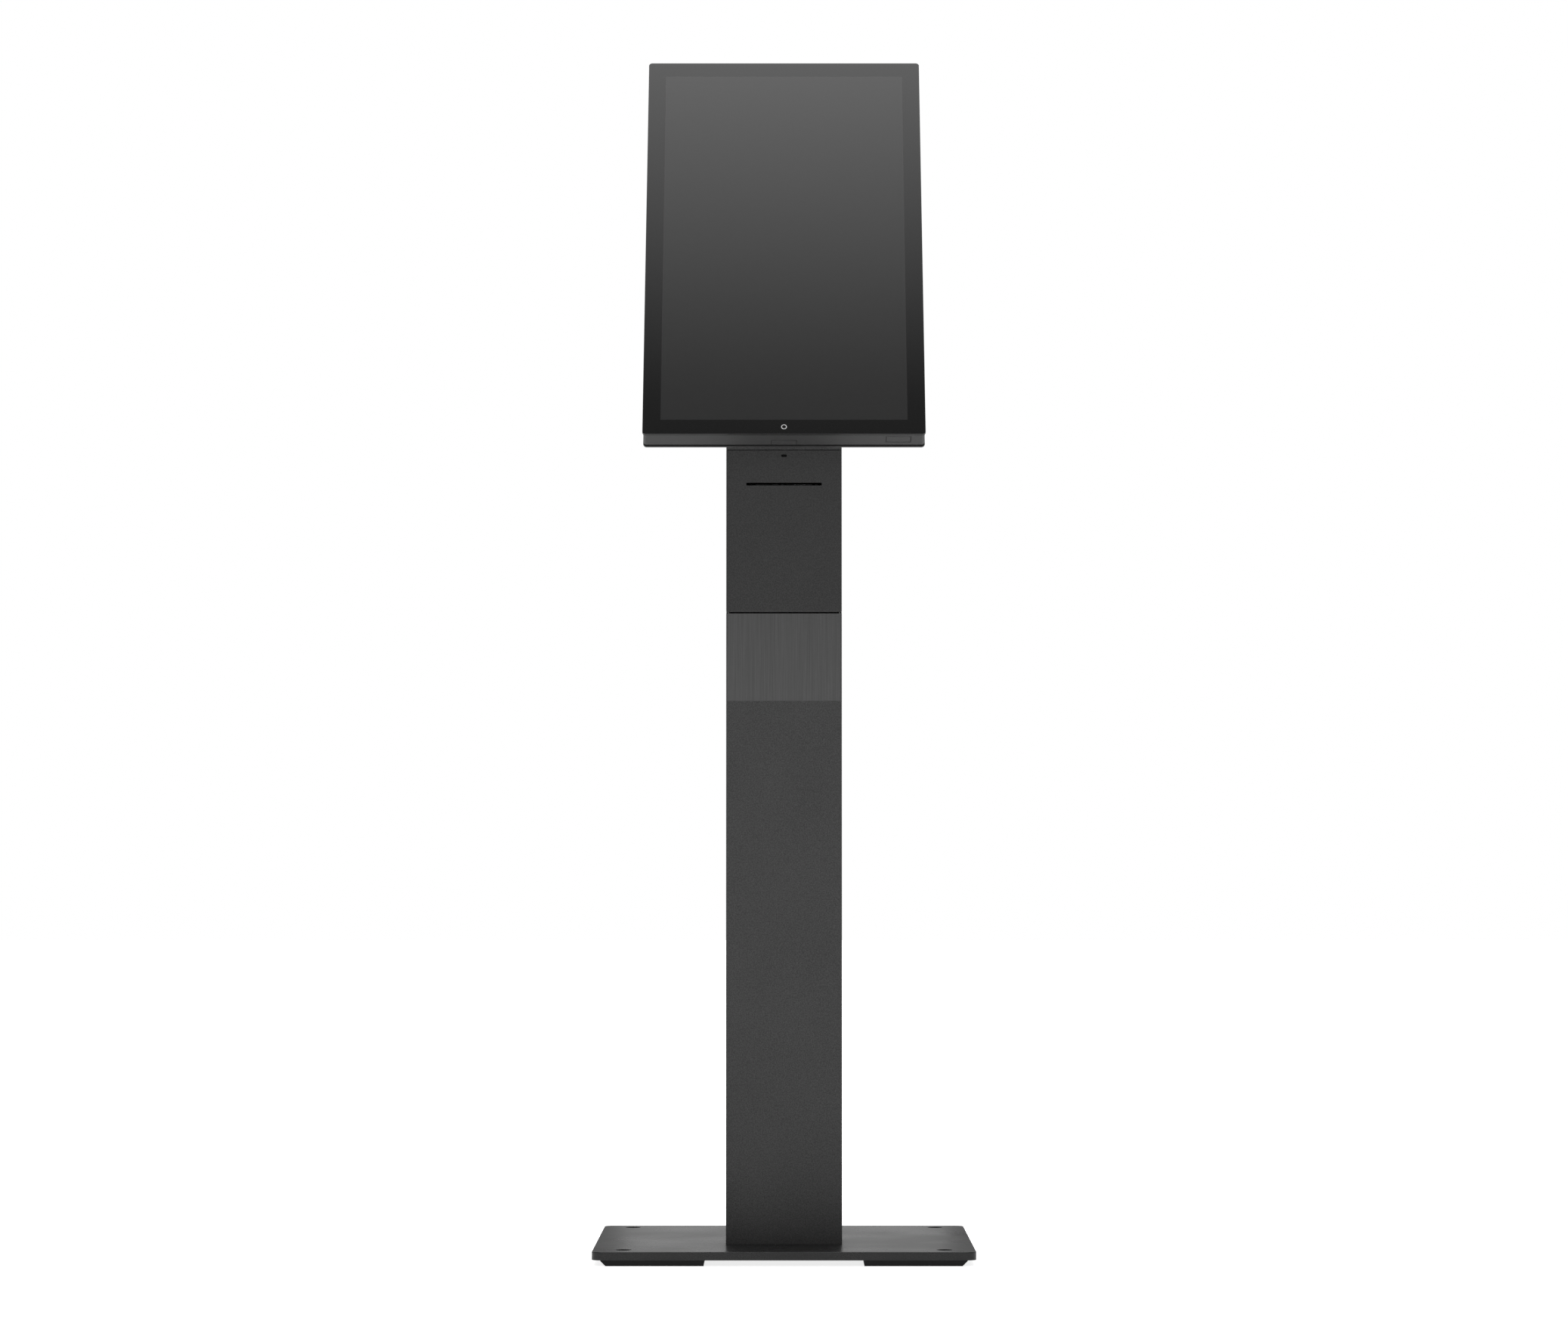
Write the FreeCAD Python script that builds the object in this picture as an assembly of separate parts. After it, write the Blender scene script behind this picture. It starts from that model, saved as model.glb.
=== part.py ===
import FreeCAD, Part
import math
import os

V = FreeCAD.Vector

# Millimetres. X is to the right, Y to the back, Z up.
# The origin is on the floor, at the centre of the base plate.

# Base
base_width = 455.0
base_depth = 442.0
base_thick = 10.0
base_corner = 12.0
base_edge = 1.2
foot_height = 7.0
foot_width = 122.0
foot_depth = 92.0
foot_side_inset = 10.5
foot_front_inset = 4.0
foot_chamfer = 6.0
foot_screw = 1.95
foot_screw_head = 4.0
foot_screw_near = 39.0
foot_screw_far = 44.0
foot_screw_aside = 27.6
anchor_hole = 9.5
anchor_side_inset = 37.0
anchor_end_inset = 33.0
cable_hole = 22.0
grommet_wall = 4.0
flange_thick = 6.0
flange_bolt = 4.0
flange_bolt_head = 8.8
flange_bolt_inset = 22.0

# Column
printer_room = 60.5
column_depth = 125.0
column_set_back = 119.0
sheet = 1.5
panel_gap = 0.35
door_gap = 1.6
lower_cover_height = 655.0
brushed_height = 106.0
printer_door_height = 196.5
return_depth = 11.0
bend_radius = 1.5
cover_seam = 0.4
cap_gap = 0.8
slope_front_rise = 37.1
slope_rise = 179.0
rail_low = 60.0
rail_high = 40.0
rail_height = 24.0
rail_thick = 2.0
stud_radius = 2.0
stud_spread = 45.0

# Doors
knuckle = 4.0
pin_radius = 2.0
running = 0.05
pin_reach = 9.0
knuckle_end_gap = 0.6
pivot_inset = 3.0
pivot_radius = 1.3
pivot_gap = 0.6
slot_spare = 11.8
slot_height = 3.5
liner_relief = 1.2
liner_depth = 8.5
mouth_half = 0.3
catch_play = 2.0
catch_depth = 17.4
catch_tall = 18.0
catch_below_top = 12.0
slot_below_top = 41.0
lens_width = 7.0
lens_height = 3.2
lens_below_top = 6.5
service_width = 112.0
service_height = 560.0
service_floor = 130.0
door_side_gap = 1.0
service_return = 9.0
louvre_count = 9
louvre_start = 40.0
louvre_pitch = 9.0
louvre_width = 64.0
louvre_height = 4.0
lock_radius = 9.0
lock_inset = 16.0
lock_depth = 13.0
plug_radius = 5.92
cam_length = 27.0
inlet_z = 82.0
inlet_width = 28.0
inlet_tall = 20.0
switch_x = 30.0
switch_width = 15.6
flange_lap = 2.0
body_fit = 0.1

# Power supply
supply_thick = 38.0
supply_front_room = 34.0
supply_back_room = 13.0
supply_floor = 200.0
supply_height = 160.0

# Display head, built upright with its glass face on y = 0 and its bottom edge on z = 0, then leaned back
bezel_side = 21.52
bezel_bottom = 20.7
screen_width = 296.46
screen_height = 527.04
bezel_top = 21.9
glass_thick = 3.0
glass_corner = 4.0
tape_thick = 0.5
housing_inset = 1.0
chin_depth = 23.7
seam_depth = 2.9
lip_depth = 3.9
lip_inset = 0.5
bulge_depth = 48.0
bulge_margin = 26.0
bulge_taper = 9.0
wall = 2.5
tilt = 29.87
head_overhang = 78.0
head_rise = 12.9
hinge_below_mount = 24.82
hinge_behind = 70.0
tilt_pin = 5.0
vesa = 100.0
vesa_screw = 2.0
vesa_screw_length = 14.0

# Printer
slot_to_platen = 24.0
platen_radius = 7.0
platen_spare = 2.5
platen_shaft = 3.0
paper_width = 79.5
roll_radius = 38.0
core_radius = 8.5
core_wall = 2.0
spindle_radius = 8.0
spindle_end = 5.0
motor_shaft_radius = 1.5
motor_radius = 10.0
gear_module = 0.8
platen_teeth = 36
pinion_teeth = 12
gear_width = 5.0
roll_set_back = 66.0
roll_clearance = 2.5
chassis_spare = 8.0
cutter_gap = 1.6
cutter_thick = 3.2
cutter_spare = 2.25

# Worked out from the driving dimensions
column_front = column_set_back - base_depth / 2
column_width = paper_width + printer_room
glass_width = screen_width + 2 * bezel_side
glass_height = bezel_bottom + screen_height + bezel_top
base_floor = foot_height
base_top = base_floor + base_thick
column_back = column_front + column_depth
half = column_width / 2
inner_half = half - sheet
brushed_floor = base_top + lower_cover_height
door_floor = brushed_floor + brushed_height + door_gap
door_top = door_floor + printer_door_height
upper_floor = door_top + cap_gap
slope_front_height = upper_floor + slope_front_rise
slope_back_height = slope_front_height + slope_rise
spine_front = column_front + return_depth + cover_seam
hinge_y = column_front + pivot_inset
hinge_z = door_floor + pivot_inset
slot_width = paper_width + slot_spare
slot_z = door_top - slot_below_top
lens_z = door_top - lens_below_top
panel_half = inner_half - panel_gap
glass_front = column_front - head_overhang
glass_floor = door_top + head_rise
hinge_along = glass_height / 2 - vesa / 2 - hinge_below_mount
side_thick = 1.5
shelf_floor = door_floor + 8.5
shelf_top = shelf_floor + side_thick
roll_y = column_front + roll_set_back
roll_z = shelf_top + side_thick + roll_radius + roll_clearance
platen_length = paper_width + platen_spare
platen_y = column_front + slot_to_platen
platen_z = slot_z - platen_radius
housing_back = chin_depth
rear_cover_front = chin_depth + seam_depth
lip_back = rear_cover_front + lip_depth
chassis_half = platen_length / 2 + chassis_spare
cutter_back = platen_y - platen_radius - cutter_gap
cutter_front = cutter_back - cutter_thick
cutter_half = paper_width / 2 + cutter_spare


def box(x0, x1, y0, y1, z0, z1):
    """A block between two corners."""
    return Part.makeBox(x1 - x0, y1 - y0, z1 - z0, V(x0, y0, z0))


def rod(radius, start, end):
    """A round bar between two points."""
    along = V(*end) - V(*start)
    return Part.makeCylinder(radius, along.Length, V(*start), along)


def prism_x(points, x0, x1):
    """A flat outline in Y and Z, carried along X."""
    corners = [V(x0, y, z) for y, z in points]
    face = Part.Face(Part.makePolygon(corners + corners[:1]))
    return face.extrude(V(x1 - x0, 0, 0))


def round_corners(shape, axis, radius):
    """Rounds the straight edges that run along one axis."""
    picked = []
    for edge in shape.Edges:
        ends = edge.Vertexes
        if len(ends) == 2:
            way = ends[1].Point - ends[0].Point
            if way.Length > 0 and abs(way.normalize().dot(axis)) > 0.999:
                picked.append(edge)
    return shape.makeFillet(radius, picked)


def upright_plate(width, z0, z1, y0, y1, corner):
    """A plate that stands on its edge, with rounded corners seen from the front."""
    return round_corners(box(-width / 2, width / 2, y0, y1, z0, z1), V(0, 1, 0), corner)


def on_head(shape):
    """Leans an upright display piece back and puts it in its place."""
    placed = shape.copy()
    placed.rotate(V(0, 0, 0), V(1, 0, 0), -tilt)
    placed.translate(V(0, glass_front, glass_floor))
    return placed


def group(shapes):
    """Separate solids of one kind in one node."""
    return Part.makeCompound(shapes)


def edge_at(shape, test, size, chamfer=False):
    """Rounds or chamfers the edges whose middle passes the test."""
    picked = [e for e in shape.Edges if test(e.CenterOfMass)]
    if chamfer:
        return shape.makeChamfer(size, picked)
    return shape.makeFillet(size, picked)


# Base -----------------------------------------------------------------------------------------

bolt_hole = flange_bolt + 0.3
foot_head_top = foot_height - 3.0


def anchor_places():
    """The centres of the four floor anchors."""
    x = base_width / 2 - anchor_side_inset
    y = base_depth / 2 - anchor_end_inset
    return [(sx * x, sy * y) for sx in (-1, 1) for sy in (-1, 1)]


def flange_places():
    """The centres of the four column bolts."""
    x = half - flange_bolt_inset
    y = column_depth / 2 - flange_bolt_inset
    middle = (column_front + column_back) / 2
    return [(sx * x, middle + sy * y) for sx in (-1, 1) for sy in (-1, 1)]


def base_plate():
    plate = box(-base_width / 2, base_width / 2, -base_depth / 2, base_depth / 2, base_floor, base_top)
    plate = round_corners(plate, V(0, 0, 1), base_corner)
    plate = edge_at(plate, lambda c: abs(c.z - base_top) < 0.01, base_edge)
    for x, y in anchor_places():
        plate = plate.cut(rod(anchor_hole, (x, y, 0), (x, y, base_top + 5)))
    for x, y in flange_places():
        plate = plate.cut(rod(bolt_hole, (x, y, 0), (x, y, base_top + 5)))
        plate = plate.cut(Part.makeCone(flange_bolt_head + 0.2, bolt_hole, base_thick / 2,
            V(x, y, base_floor), V(0, 0, 1)))
    for x, y in foot_screw_places():
        plate = plate.cut(rod(foot_screw + running, (x, y, base_floor - 1),
            (x, y, base_floor + base_thick * 0.7)))
    middle = (column_front + column_back) / 2
    return plate.cut(rod(cable_hole, (0, middle, 0), (0, middle, base_top + 5)))


def foot_corner(sx, sy):
    """The middle of one foot pad."""
    x = base_width / 2 - foot_side_inset - foot_width / 2
    y = base_depth / 2 - foot_front_inset - foot_depth / 2
    return sx * x, sy * y


def foot_screw_places():
    """Two screws to each foot pad, one on each side of its anchor hole."""
    places = []
    for sx in (-1, 1):
        for sy in (-1, 1):
            x, y = foot_corner(sx, sy)
            places.append((x - sx * foot_screw_near, y))
            places.append((x + sx * foot_screw_far, y - sy * foot_screw_aside))
    return places


def foot(sx, sy):
    x, y = foot_corner(sx, sy)
    pad = box(x - foot_width / 2, x + foot_width / 2, y - foot_depth / 2, y + foot_depth / 2, 0,
        foot_height)
    outer = x + sx * foot_width / 2
    pad = edge_at(pad, lambda c: c.z < 0.01 and abs(c.x - outer) < 0.01, foot_chamfer, chamfer=True)
    for ax, ay in anchor_places():
        if ax * sx > 0 and ay * sy > 0:
            pad = pad.cut(rod(anchor_hole, (ax, ay, -1), (ax, ay, foot_height + 1)))
    for px, py in foot_screw_places():
        if px * sx > 0 and py * sy > 0:
            pad = pad.cut(rod(foot_screw + 0.25, (px, py, -1), (px, py, foot_height + 1)))
            pad = pad.cut(rod(foot_screw_head + 0.4, (px, py, -1), (px, py, foot_head_top)))
    return pad


def foot_screws():
    screws = []
    for x, y in foot_screw_places():
        head = rod(foot_screw_head, (x, y, foot_head_top - 2.5), (x, y, foot_head_top))
        screws.append(head.fuse(rod(foot_screw, (x, y, foot_head_top - 0.2),
            (x, y, base_floor + base_thick * 0.6))))
    return group(screws)


def cable_grommet():
    y = (column_front + column_back) / 2
    flange_top = base_top + flange_thick
    body = rod(cable_hole - 0.1, (0, y, base_floor + 1), (0, y, flange_top + 1))
    ring = body.fuse(rod(cable_hole + grommet_wall, (0, y, flange_top + 0.2), (0, y, flange_top + 2.0)))
    return ring.cut(rod(cable_hole - grommet_wall, (0, y, 0), (0, y, flange_top + 5)))


# Column ---------------------------------------------------------------------------------------

def column_flange():
    """The thick plate welded inside the foot of the column."""
    front = spine_front + 2.6
    plate = box(-inner_half, inner_half, front, column_back - sheet, base_top, base_top + flange_thick)
    middle = (column_front + column_back) / 2
    plate = plate.cut(rod(cable_hole, (0, middle, 0), (0, middle, base_top + flange_thick + 1)))
    for x, y in flange_places():
        plate = plate.cut(rod(bolt_hole, (x, y, 0), (x, y, base_top + flange_thick + 1)))
    return plate


def column_bolts():
    bolts = []
    for x, y in flange_places():
        nut_floor = base_top + flange_thick
        head = Part.makeCone(flange_bolt_head, flange_bolt + 0.1, base_thick / 2 - 0.3,
            V(x, y, base_floor + 0.2), V(0, 0, 1))
        shank = rod(flange_bolt, (x, y, base_floor + 0.5), (x, y, nut_floor + 9.0))
        nut = rod(flange_bolt + 3.0, (x, y, nut_floor), (x, y, nut_floor + 6.5))
        bolts.append(head.fuse(shank).fuse(nut))
    return group(bolts)


def cap_height(y):
    """The height of the sloped top at one distance from the front."""
    rise = (slope_back_height - slope_front_height) / column_depth
    return slope_front_height + (y - column_front) * rise


def cap_reach(height):
    """The place from front to back where the sloped top has one height."""
    return column_front + (height - slope_front_height) * column_depth / slope_rise


def column_spine():
    """The folded upright: two sides and a back."""
    back = column_back
    outline = [(spine_front, base_top), (back, base_top), (back, cap_height(back)),
        (spine_front, cap_height(spine_front))]
    outer = prism_x(outline, -half, half)
    outer = edge_at(outer, lambda c: abs(c.y - back) < 0.01 and abs(abs(c.x) - half) < 0.01, 2 * sheet)
    hollow = box(-inner_half, inner_half, column_front - 5, back - sheet, base_top - 5,
        slope_back_height + 40)
    spine = outer.cut(hollow)
    w = service_width / 2 + door_side_gap
    opening = box(-w, w, back - 5, back + 5, service_floor - door_side_gap,
        service_floor + service_height + door_side_gap)
    spine = spine.cut(opening)
    for x, width in ((0.0, inlet_width), (switch_x, switch_width)):
        hole = box(x - width / 2, x + width / 2, back - 5, back + 5, inlet_z - inlet_tall / 2,
            inlet_z + inlet_tall / 2)
        spine = spine.cut(hole)
    for x, z in yoke_screw_places():
        spine = spine.cut(rod(yoke_screw + running, (x, back - 5, z), (x, back + 5, z)))
    return spine


def bent_edges(shape):
    """Rounds the two upright front edges as a press brake bends them."""
    return edge_at(shape, lambda c: abs(c.y - column_front) < 0.01 and abs(abs(c.x) - half) < 0.01,
        bend_radius)


def tray(z0, z1, inner_z0, inner_z1):
    """A folded front panel, as wide as the column, with its edges turned back."""
    back = column_front + return_depth
    outer = bent_edges(box(-half, half, column_front, back, z0, z1))
    return outer.cut(box(-inner_half, inner_half, column_front + sheet, back + 1, inner_z0, inner_z1))


def lower_cover():
    z0, z1 = base_top + 0.1, brushed_floor - 0.05
    return tray(z0, z1, z0 + sheet, z1 - sheet)


def brushed_panel():
    z0, z1 = brushed_floor + 0.05, brushed_floor + brushed_height
    return tray(z0, z1, z0 + sheet, z1 - sheet)


rail_back = spine_front - 0.1 + rail_thick


def cover_rail_places():
    """Near each end and half way up the lower cover, and behind the brushed panel."""
    lower_middle = base_top + lower_cover_height / 2
    brushed_middle = brushed_floor + brushed_height / 2
    return [base_top + rail_low, lower_middle, brushed_floor - rail_high, brushed_middle]


def cover_rails():
    """Flat cross rails welded between the sides, that the front panels screw to from behind."""
    front = rail_back - rail_thick
    rails = []
    for z in cover_rail_places():
        rail = box(-inner_half, inner_half, front, rail_back, z - rail_height / 2, z + rail_height / 2)
        for x in (-stud_spread, stud_spread):
            rail = rail.cut(rod(stud_radius + 0.2, (x, front - 1, z), (x, rail_back + 1, z)))
        rails.append(rail)
    return group(rails)


def cover_studs():
    """Welded studs on the back of the front panels, each with its nut behind the rail."""
    studs = []
    for z in cover_rail_places():
        for x in (-stud_spread, stud_spread):
            stud = rod(stud_radius, (x, column_front + sheet, z), (x, rail_back + 5.5, z))
            studs.append(stud.fuse(rod(stud_radius + 1.9, (x, rail_back, z), (x, rail_back + 3.2, z))))
    return group(studs)


def top_cover():
    """The folded cap: a short front strip, then the sloped top with a window for the tilt hinge."""
    front = column_front
    back = column_back - sheet - 0.3
    fold = column_front + return_depth
    under = 3.0 * sheet
    strip = prism_x([(front, upper_floor), (fold, upper_floor), (fold, cap_height(fold)),
        (front, cap_height(front))], -half, half)
    strip = bent_edges(strip)
    inside = [(front + sheet, upper_floor - 1), (fold + 1, upper_floor - 1),
        (fold + 1, cap_height(fold + 1) - under),
              (front + sheet, cap_height(front + sheet) - under)]
    strip = strip.cut(prism_x(inside, -inner_half, inner_half))
    slope = [(fold - 1, cap_height(fold - 1) - under), (back, cap_height(back) - under),
        (back, cap_height(back)),
             (fold - 1, cap_height(fold - 1))]
    cap = strip.fuse(prism_x(slope, -panel_half, panel_half))
    w = cheek_inner + cheek_thick + window_side_room
    y, z = tilt_centre()
    window_front = y - window_front_room
    window_back = cap_reach(z + cheek_radius + under) + window_back_room
    return cap.cut(box(-w, w, window_front, window_back, slope_front_height - 40, slope_back_height + 40))


def service_door():
    """The rear door. Its hinged edge is rolled round the hinge pins."""
    x0, x1 = -service_width / 2, service_width / 2
    z0, z1 = service_floor, service_floor + service_height
    px, py = x0 + knuckle, column_back - knuckle
    skin = box(px, x1, column_back - sheet, column_back, z0, z1)
    fold_free = box(x1 - sheet, x1, column_back - service_return, column_back, z0, z1)
    roll = rod(knuckle, (px, py, z0), (px, py, z1))
    door = skin.fuse(fold_free).fuse(roll)
    door = door.cut(rod(pin_radius + running, (px, py, z0 - 1), (px, py, z0 + pin_reach + 1)))
    door = door.cut(rod(pin_radius + running, (px, py, z1 - pin_reach - 1), (px, py, z1 + 1)))
    lx, lz = lock_place()
    door = door.cut(rod(lock_radius + 0.1, (lx, column_back - 12, lz), (lx, column_back + 5, lz)))
    w = louvre_width / 2
    for i in range(louvre_count):
        z = z0 + louvre_start + i * louvre_pitch
        door = door.cut(box(-w, w, column_back - 3, column_back + 3, z, z + louvre_height))
    return door


def lock_place():
    return service_width / 2 - lock_inset, service_floor + service_height / 2


def lock_body():
    x, z = lock_place()
    flange = rod(lock_radius + 2.0, (x, column_back, z), (x, column_back + 2.0, z))
    body = rod(lock_radius, (x, column_back - lock_depth, z), (x, column_back + 0.5, z))
    lock = flange.fuse(body)
    return lock.cut(rod(plug_radius + 0.08, (x, column_back - lock_depth - 5, z), (x, column_back + 9, z)))


def lock_plug():
    """The turning plug with its key slot, and the cam on its inner end."""
    x, z = lock_place()
    inner_end = column_back - lock_depth - 0.6
    plug = rod(plug_radius, (x, inner_end, z), (x, column_back + 2.4, z))
    plug = plug.cut(box(x - 0.6, x + 0.6, column_back - 6, column_back + 3, z - 3.5, z + 3.5))
    cam = box(x - 5, x + 5, inner_end - 2.0, inner_end, z - cam_length, z + 6.0)
    return plug.fuse(cam)


def service_hinge_pins():
    """Two pins on tabs that are welded inside the back of the column."""
    px, py = -service_width / 2 + knuckle, column_back - knuckle
    shapes = []
    for z, up in ((service_floor, -1), (service_floor + service_height, 1)):
        near, far = z + up * knuckle_end_gap, z + up * (knuckle_end_gap + 4.0)
        low, high = min(near, far), max(near, far)
        tab = box(px - knuckle, px + knuckle, py - knuckle, column_back - sheet, low, high)
        pin = rod(pin_radius, (px, py, z - up * pin_reach), (px, py, far))
        shapes.append(tab.fuse(pin))
    return group(shapes)


def printer_door():
    """The drop-down front door, a folded tray open at the bottom, pivoted in its two sides."""
    back = column_front + return_depth
    outer = box(-half, half, column_front, back, door_floor, door_top)
    outer = edge_at(outer, lambda c: abs(c.y - column_front) < 0.01 and abs(c.z - door_floor) < 0.01,
        bend_radius)
    outer = bent_edges(outer)
    door = outer.cut(box(-inner_half, inner_half, column_front + sheet, back + 1, door_floor - 1,
        door_top - sheet))
    door = door.cut(box(-half - 1, half + 1, back - pivot_inset, back + 1, door_floor - 1,
        door_floor + 2 * pivot_inset))
    door = door.cut(rod(pivot_radius + running, (-half - 1, hinge_y, hinge_z),
        (half + 1, hinge_y, hinge_z)))
    slot = box(-slot_width / 2, slot_width / 2, column_front - 1, column_front + 5,
        slot_z - slot_height / 2, slot_z + slot_height / 2)
    return door.cut(slot).cut(pill(lens_height / 2, column_front - 1, column_front + 3))


def printer_door_pins():
    """Two bent pivot pins, welded to blocks on the inside of the column's sides."""
    shapes = []
    for sx in (-1, 1):
        x = sx * (inner_half - pivot_gap - pivot_radius)
        x0, x1 = sorted((sx * inner_half, sx * (inner_half - pivot_gap - 2 * pivot_radius)))
        weld = box(x0, x1, spine_front + 1.0, spine_front + 9.0, hinge_z - pivot_radius,
            hinge_z + pivot_radius)
        arm = rod(pivot_radius - 0.1, (x, hinge_y, hinge_z), (x, spine_front + 2.0, hinge_z))
        pin = rod(pivot_radius, (x - sx * pivot_radius, hinge_y, hinge_z), (sx * (half - 0.2), hinge_y, hinge_z))
        shapes.append(weld.fuse(arm).fuse(pin))
    return group(shapes)


def slot_liner():
    """The black paper mouth behind the slot, fixed to the back of the door and nearly closed at its rear."""
    y0 = column_front + sheet
    y1 = y0 + liner_depth
    w, h = slot_width / 2 + liner_relief, slot_height / 2 + liner_relief
    body = box(-w - 4, w + 4, y0, y1, slot_z - h - 3, slot_z + h + 3)
    body = body.cut(box(-w, w, y0 - 1, y1 - 1.0, slot_z - h, slot_z + h))
    mouth = paper_width / 2 + 1.0
    return body.cut(box(-mouth, mouth, y1 - 2, y1 + 1, slot_z - mouth_half, slot_z + mouth_half))


def pill(radius, y0, y1):
    """A bar with round ends, at the place of the status light."""
    flat = (lens_width - lens_height) / 2
    bar = box(-flat, flat, y0, y1, lens_z - radius, lens_z + radius)
    for x in (-flat, flat):
        bar = bar.fuse(rod(radius, (x, y0, lens_z), (x, y1, lens_z)))
    return bar


def status_lens():
    """The small pill-shaped window and the light guide behind it."""
    return pill(lens_height / 2 - running, column_front + 0.3, column_front + 6.0)


def catch_width():
    """The room beside the printer's chassis, less a little play."""
    return inner_half - chassis_half - side_thick - catch_play


def door_catch():
    """The magnet block that holds the printer door shut, on the column's side."""
    face = spine_front + 0.2
    top = door_top - catch_below_top
    return box(inner_half - catch_width(), inner_half, face, face + catch_depth, top - catch_tall, top)


def door_keeper():
    """The steel tab on the door that meets the magnet."""
    back = column_front + return_depth
    top = door_top - catch_below_top - 1.0
    return box(inner_half - catch_width() + 2.0, inner_half, back - 2.0, back, top - catch_tall + 2.0, top)


# Tilt hinge -----------------------------------------------------------------------------------

def tilt_centre():
    """The hinge line's Y and Z, carried over from its place on the display head."""
    a = math.radians(tilt)
    y = glass_front + hinge_along * math.sin(a) + hinge_behind * math.cos(a)
    z = glass_floor + hinge_along * math.cos(a) - hinge_behind * math.sin(a)
    return y, z


lug_inner = 36.0
lug_thick = 5.0
washer_thick = 1.0
cheek_thick = 4.0
face_gap = 0.05
cheek_radius = 14.0
lug_radius = 11.0
yoke_plate = 3.0
yoke_below = 75.0
yoke_screw = 2.45
window_side_room = 9.9
window_front_room = 47.3
window_back_room = 11.72
mount_plate = 3.0
cheek_inner = lug_inner + lug_thick + washer_thick + 2 * face_gap


def tilt_yoke():
    """The welded bracket in the top of the column: a back plate with two cheeks."""
    y, z = tilt_centre()
    back = column_back - sheet
    front = back - yoke_plate
    low, high = z - yoke_below, z + cheek_radius
    yoke = box(-cheek_inner - cheek_thick, cheek_inner + cheek_thick, front, back, low, high)
    for sx in (-1, 1):
        x0, x1 = sorted((sx * cheek_inner, sx * (cheek_inner + cheek_thick)))
        outline = [(front, low), (front, high), (y, high), (y - cheek_radius, z), (y - 4, z - cheek_radius)]
        cheek = prism_x(outline, x0, x1)
        cheek = cheek.fuse(rod(cheek_radius, (x0, y, z), (x1, y, z)))
        yoke = yoke.fuse(cheek)
    yoke = yoke.cut(rod(tilt_pin, (-half, y, z), (half, y, z)))
    for sx, sz in yoke_screw_places():
        yoke = yoke.cut(rod(yoke_screw + running, (sx, front - 1, sz), (sx, back + 1, sz)))
    return yoke


def yoke_screw_places():
    """Two rows of two, inside the cheeks."""
    z = tilt_centre()[1]
    x = cheek_inner - 10.1
    return [(sx * x, z - down) for sx in (-1, 1) for down in (15.0, yoke_below - 15.0)]


def yoke_screws():
    """Four button-head screws through the back of the column."""
    screws = []
    for x, z in yoke_screw_places():
        nut_back = column_back - sheet - yoke_plate
        shank = rod(yoke_screw, (x, nut_back - 4.5, z), (x, column_back + 0.5, z))
        head = rod(2 * yoke_screw, (x, column_back, z), (x, column_back + 2.6, z))
        nut = rod(yoke_screw + 2.1, (x, nut_back - 4.0, z), (x, nut_back, z))
        screws.append(shank.fuse(head).fuse(nut))
    return group(screws)


def tilt_pin_bolt():
    """The hinge bolt with its head and lock nut outside the cheeks."""
    y, z = tilt_centre()
    end = cheek_inner + cheek_thick
    bolt = rod(tilt_pin, (-end - 6, y, z), (end + 2, y, z))
    bolt = bolt.fuse(rod(tilt_pin + 3.0, (end, y, z), (end + 4.5, y, z)))
    return bolt.fuse(rod(tilt_pin + 3.5, (-end - 5.5, y, z), (-end, y, z)))


def friction_washers():
    y, z = tilt_centre()
    near = lug_inner + lug_thick + face_gap
    far = near + washer_thick
    rings = []
    for sx in (-1, 1):
        ring = rod(tilt_pin + 7.0, (sx * near, y, z), (sx * far, y, z))
        rings.append(ring.cut(rod(tilt_pin + running, (sx * (near - 1), y, z), (sx * (far + 1), y, z))))
    return group(rings)


def vesa_places():
    middle = glass_height / 2
    return [(sx * vesa / 2, middle + sz * vesa / 2) for sx in (-1, 1) for sz in (-1, 1)]


def vesa_plate():
    """The steel plate on the back of the display, with the two hinge lugs."""
    middle = glass_height / 2
    t0, t1 = bulge_depth, bulge_depth + mount_plate
    plate = upright_plate(vesa + 24, hinge_along - 14, middle + vesa / 2 + 12, t0, t1, 4.0)
    for sx in (-1, 1):
        x0, x1 = sorted((sx * lug_inner, sx * (lug_inner + lug_thick)))
        outline = [
            (t1 - 0.5, hinge_along - lug_radius), (hinge_behind, hinge_along - lug_radius),
            (hinge_behind, hinge_along + lug_radius), (t1 - 0.5, hinge_along + 26.0),
        ]
        lug = prism_x(outline, x0, x1)
        lug = lug.fuse(rod(lug_radius, (x0, hinge_behind, hinge_along), (x1, hinge_behind, hinge_along)))
        plate = plate.fuse(lug)
    bore = rod(tilt_pin + running, (-half, hinge_behind, hinge_along), (half, hinge_behind, hinge_along))
    plate = plate.cut(bore)
    for x, s in vesa_places():
        plate = plate.cut(rod(vesa_screw + 0.25, (x, t0 - 1, s), (x, t1 + 1, s)))
    return plate


def vesa_screws():
    t = bulge_depth + mount_plate
    screws = []
    for x, s in vesa_places():
        head = rod(vesa_screw + 1.9, (x, t, s), (x, t + 2.6, s))
        screws.append(head.fuse(rod(vesa_screw, (x, t - vesa_screw_length, s), (x, t + 0.5, s))))
    return group(screws)


def vesa_posts():
    """Threaded posts that carry the load from the inner frame to the mounting plate."""
    posts = []
    for x, s in vesa_places():
        post = rod(5.0, (x, frame_back, s), (x, bulge_depth - wall, s))
        posts.append(post.cut(rod(vesa_screw, (x, frame_back + 4, s), (x, bulge_depth, s))))
    return group(posts)


# Display head ---------------------------------------------------------------------------------

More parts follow.
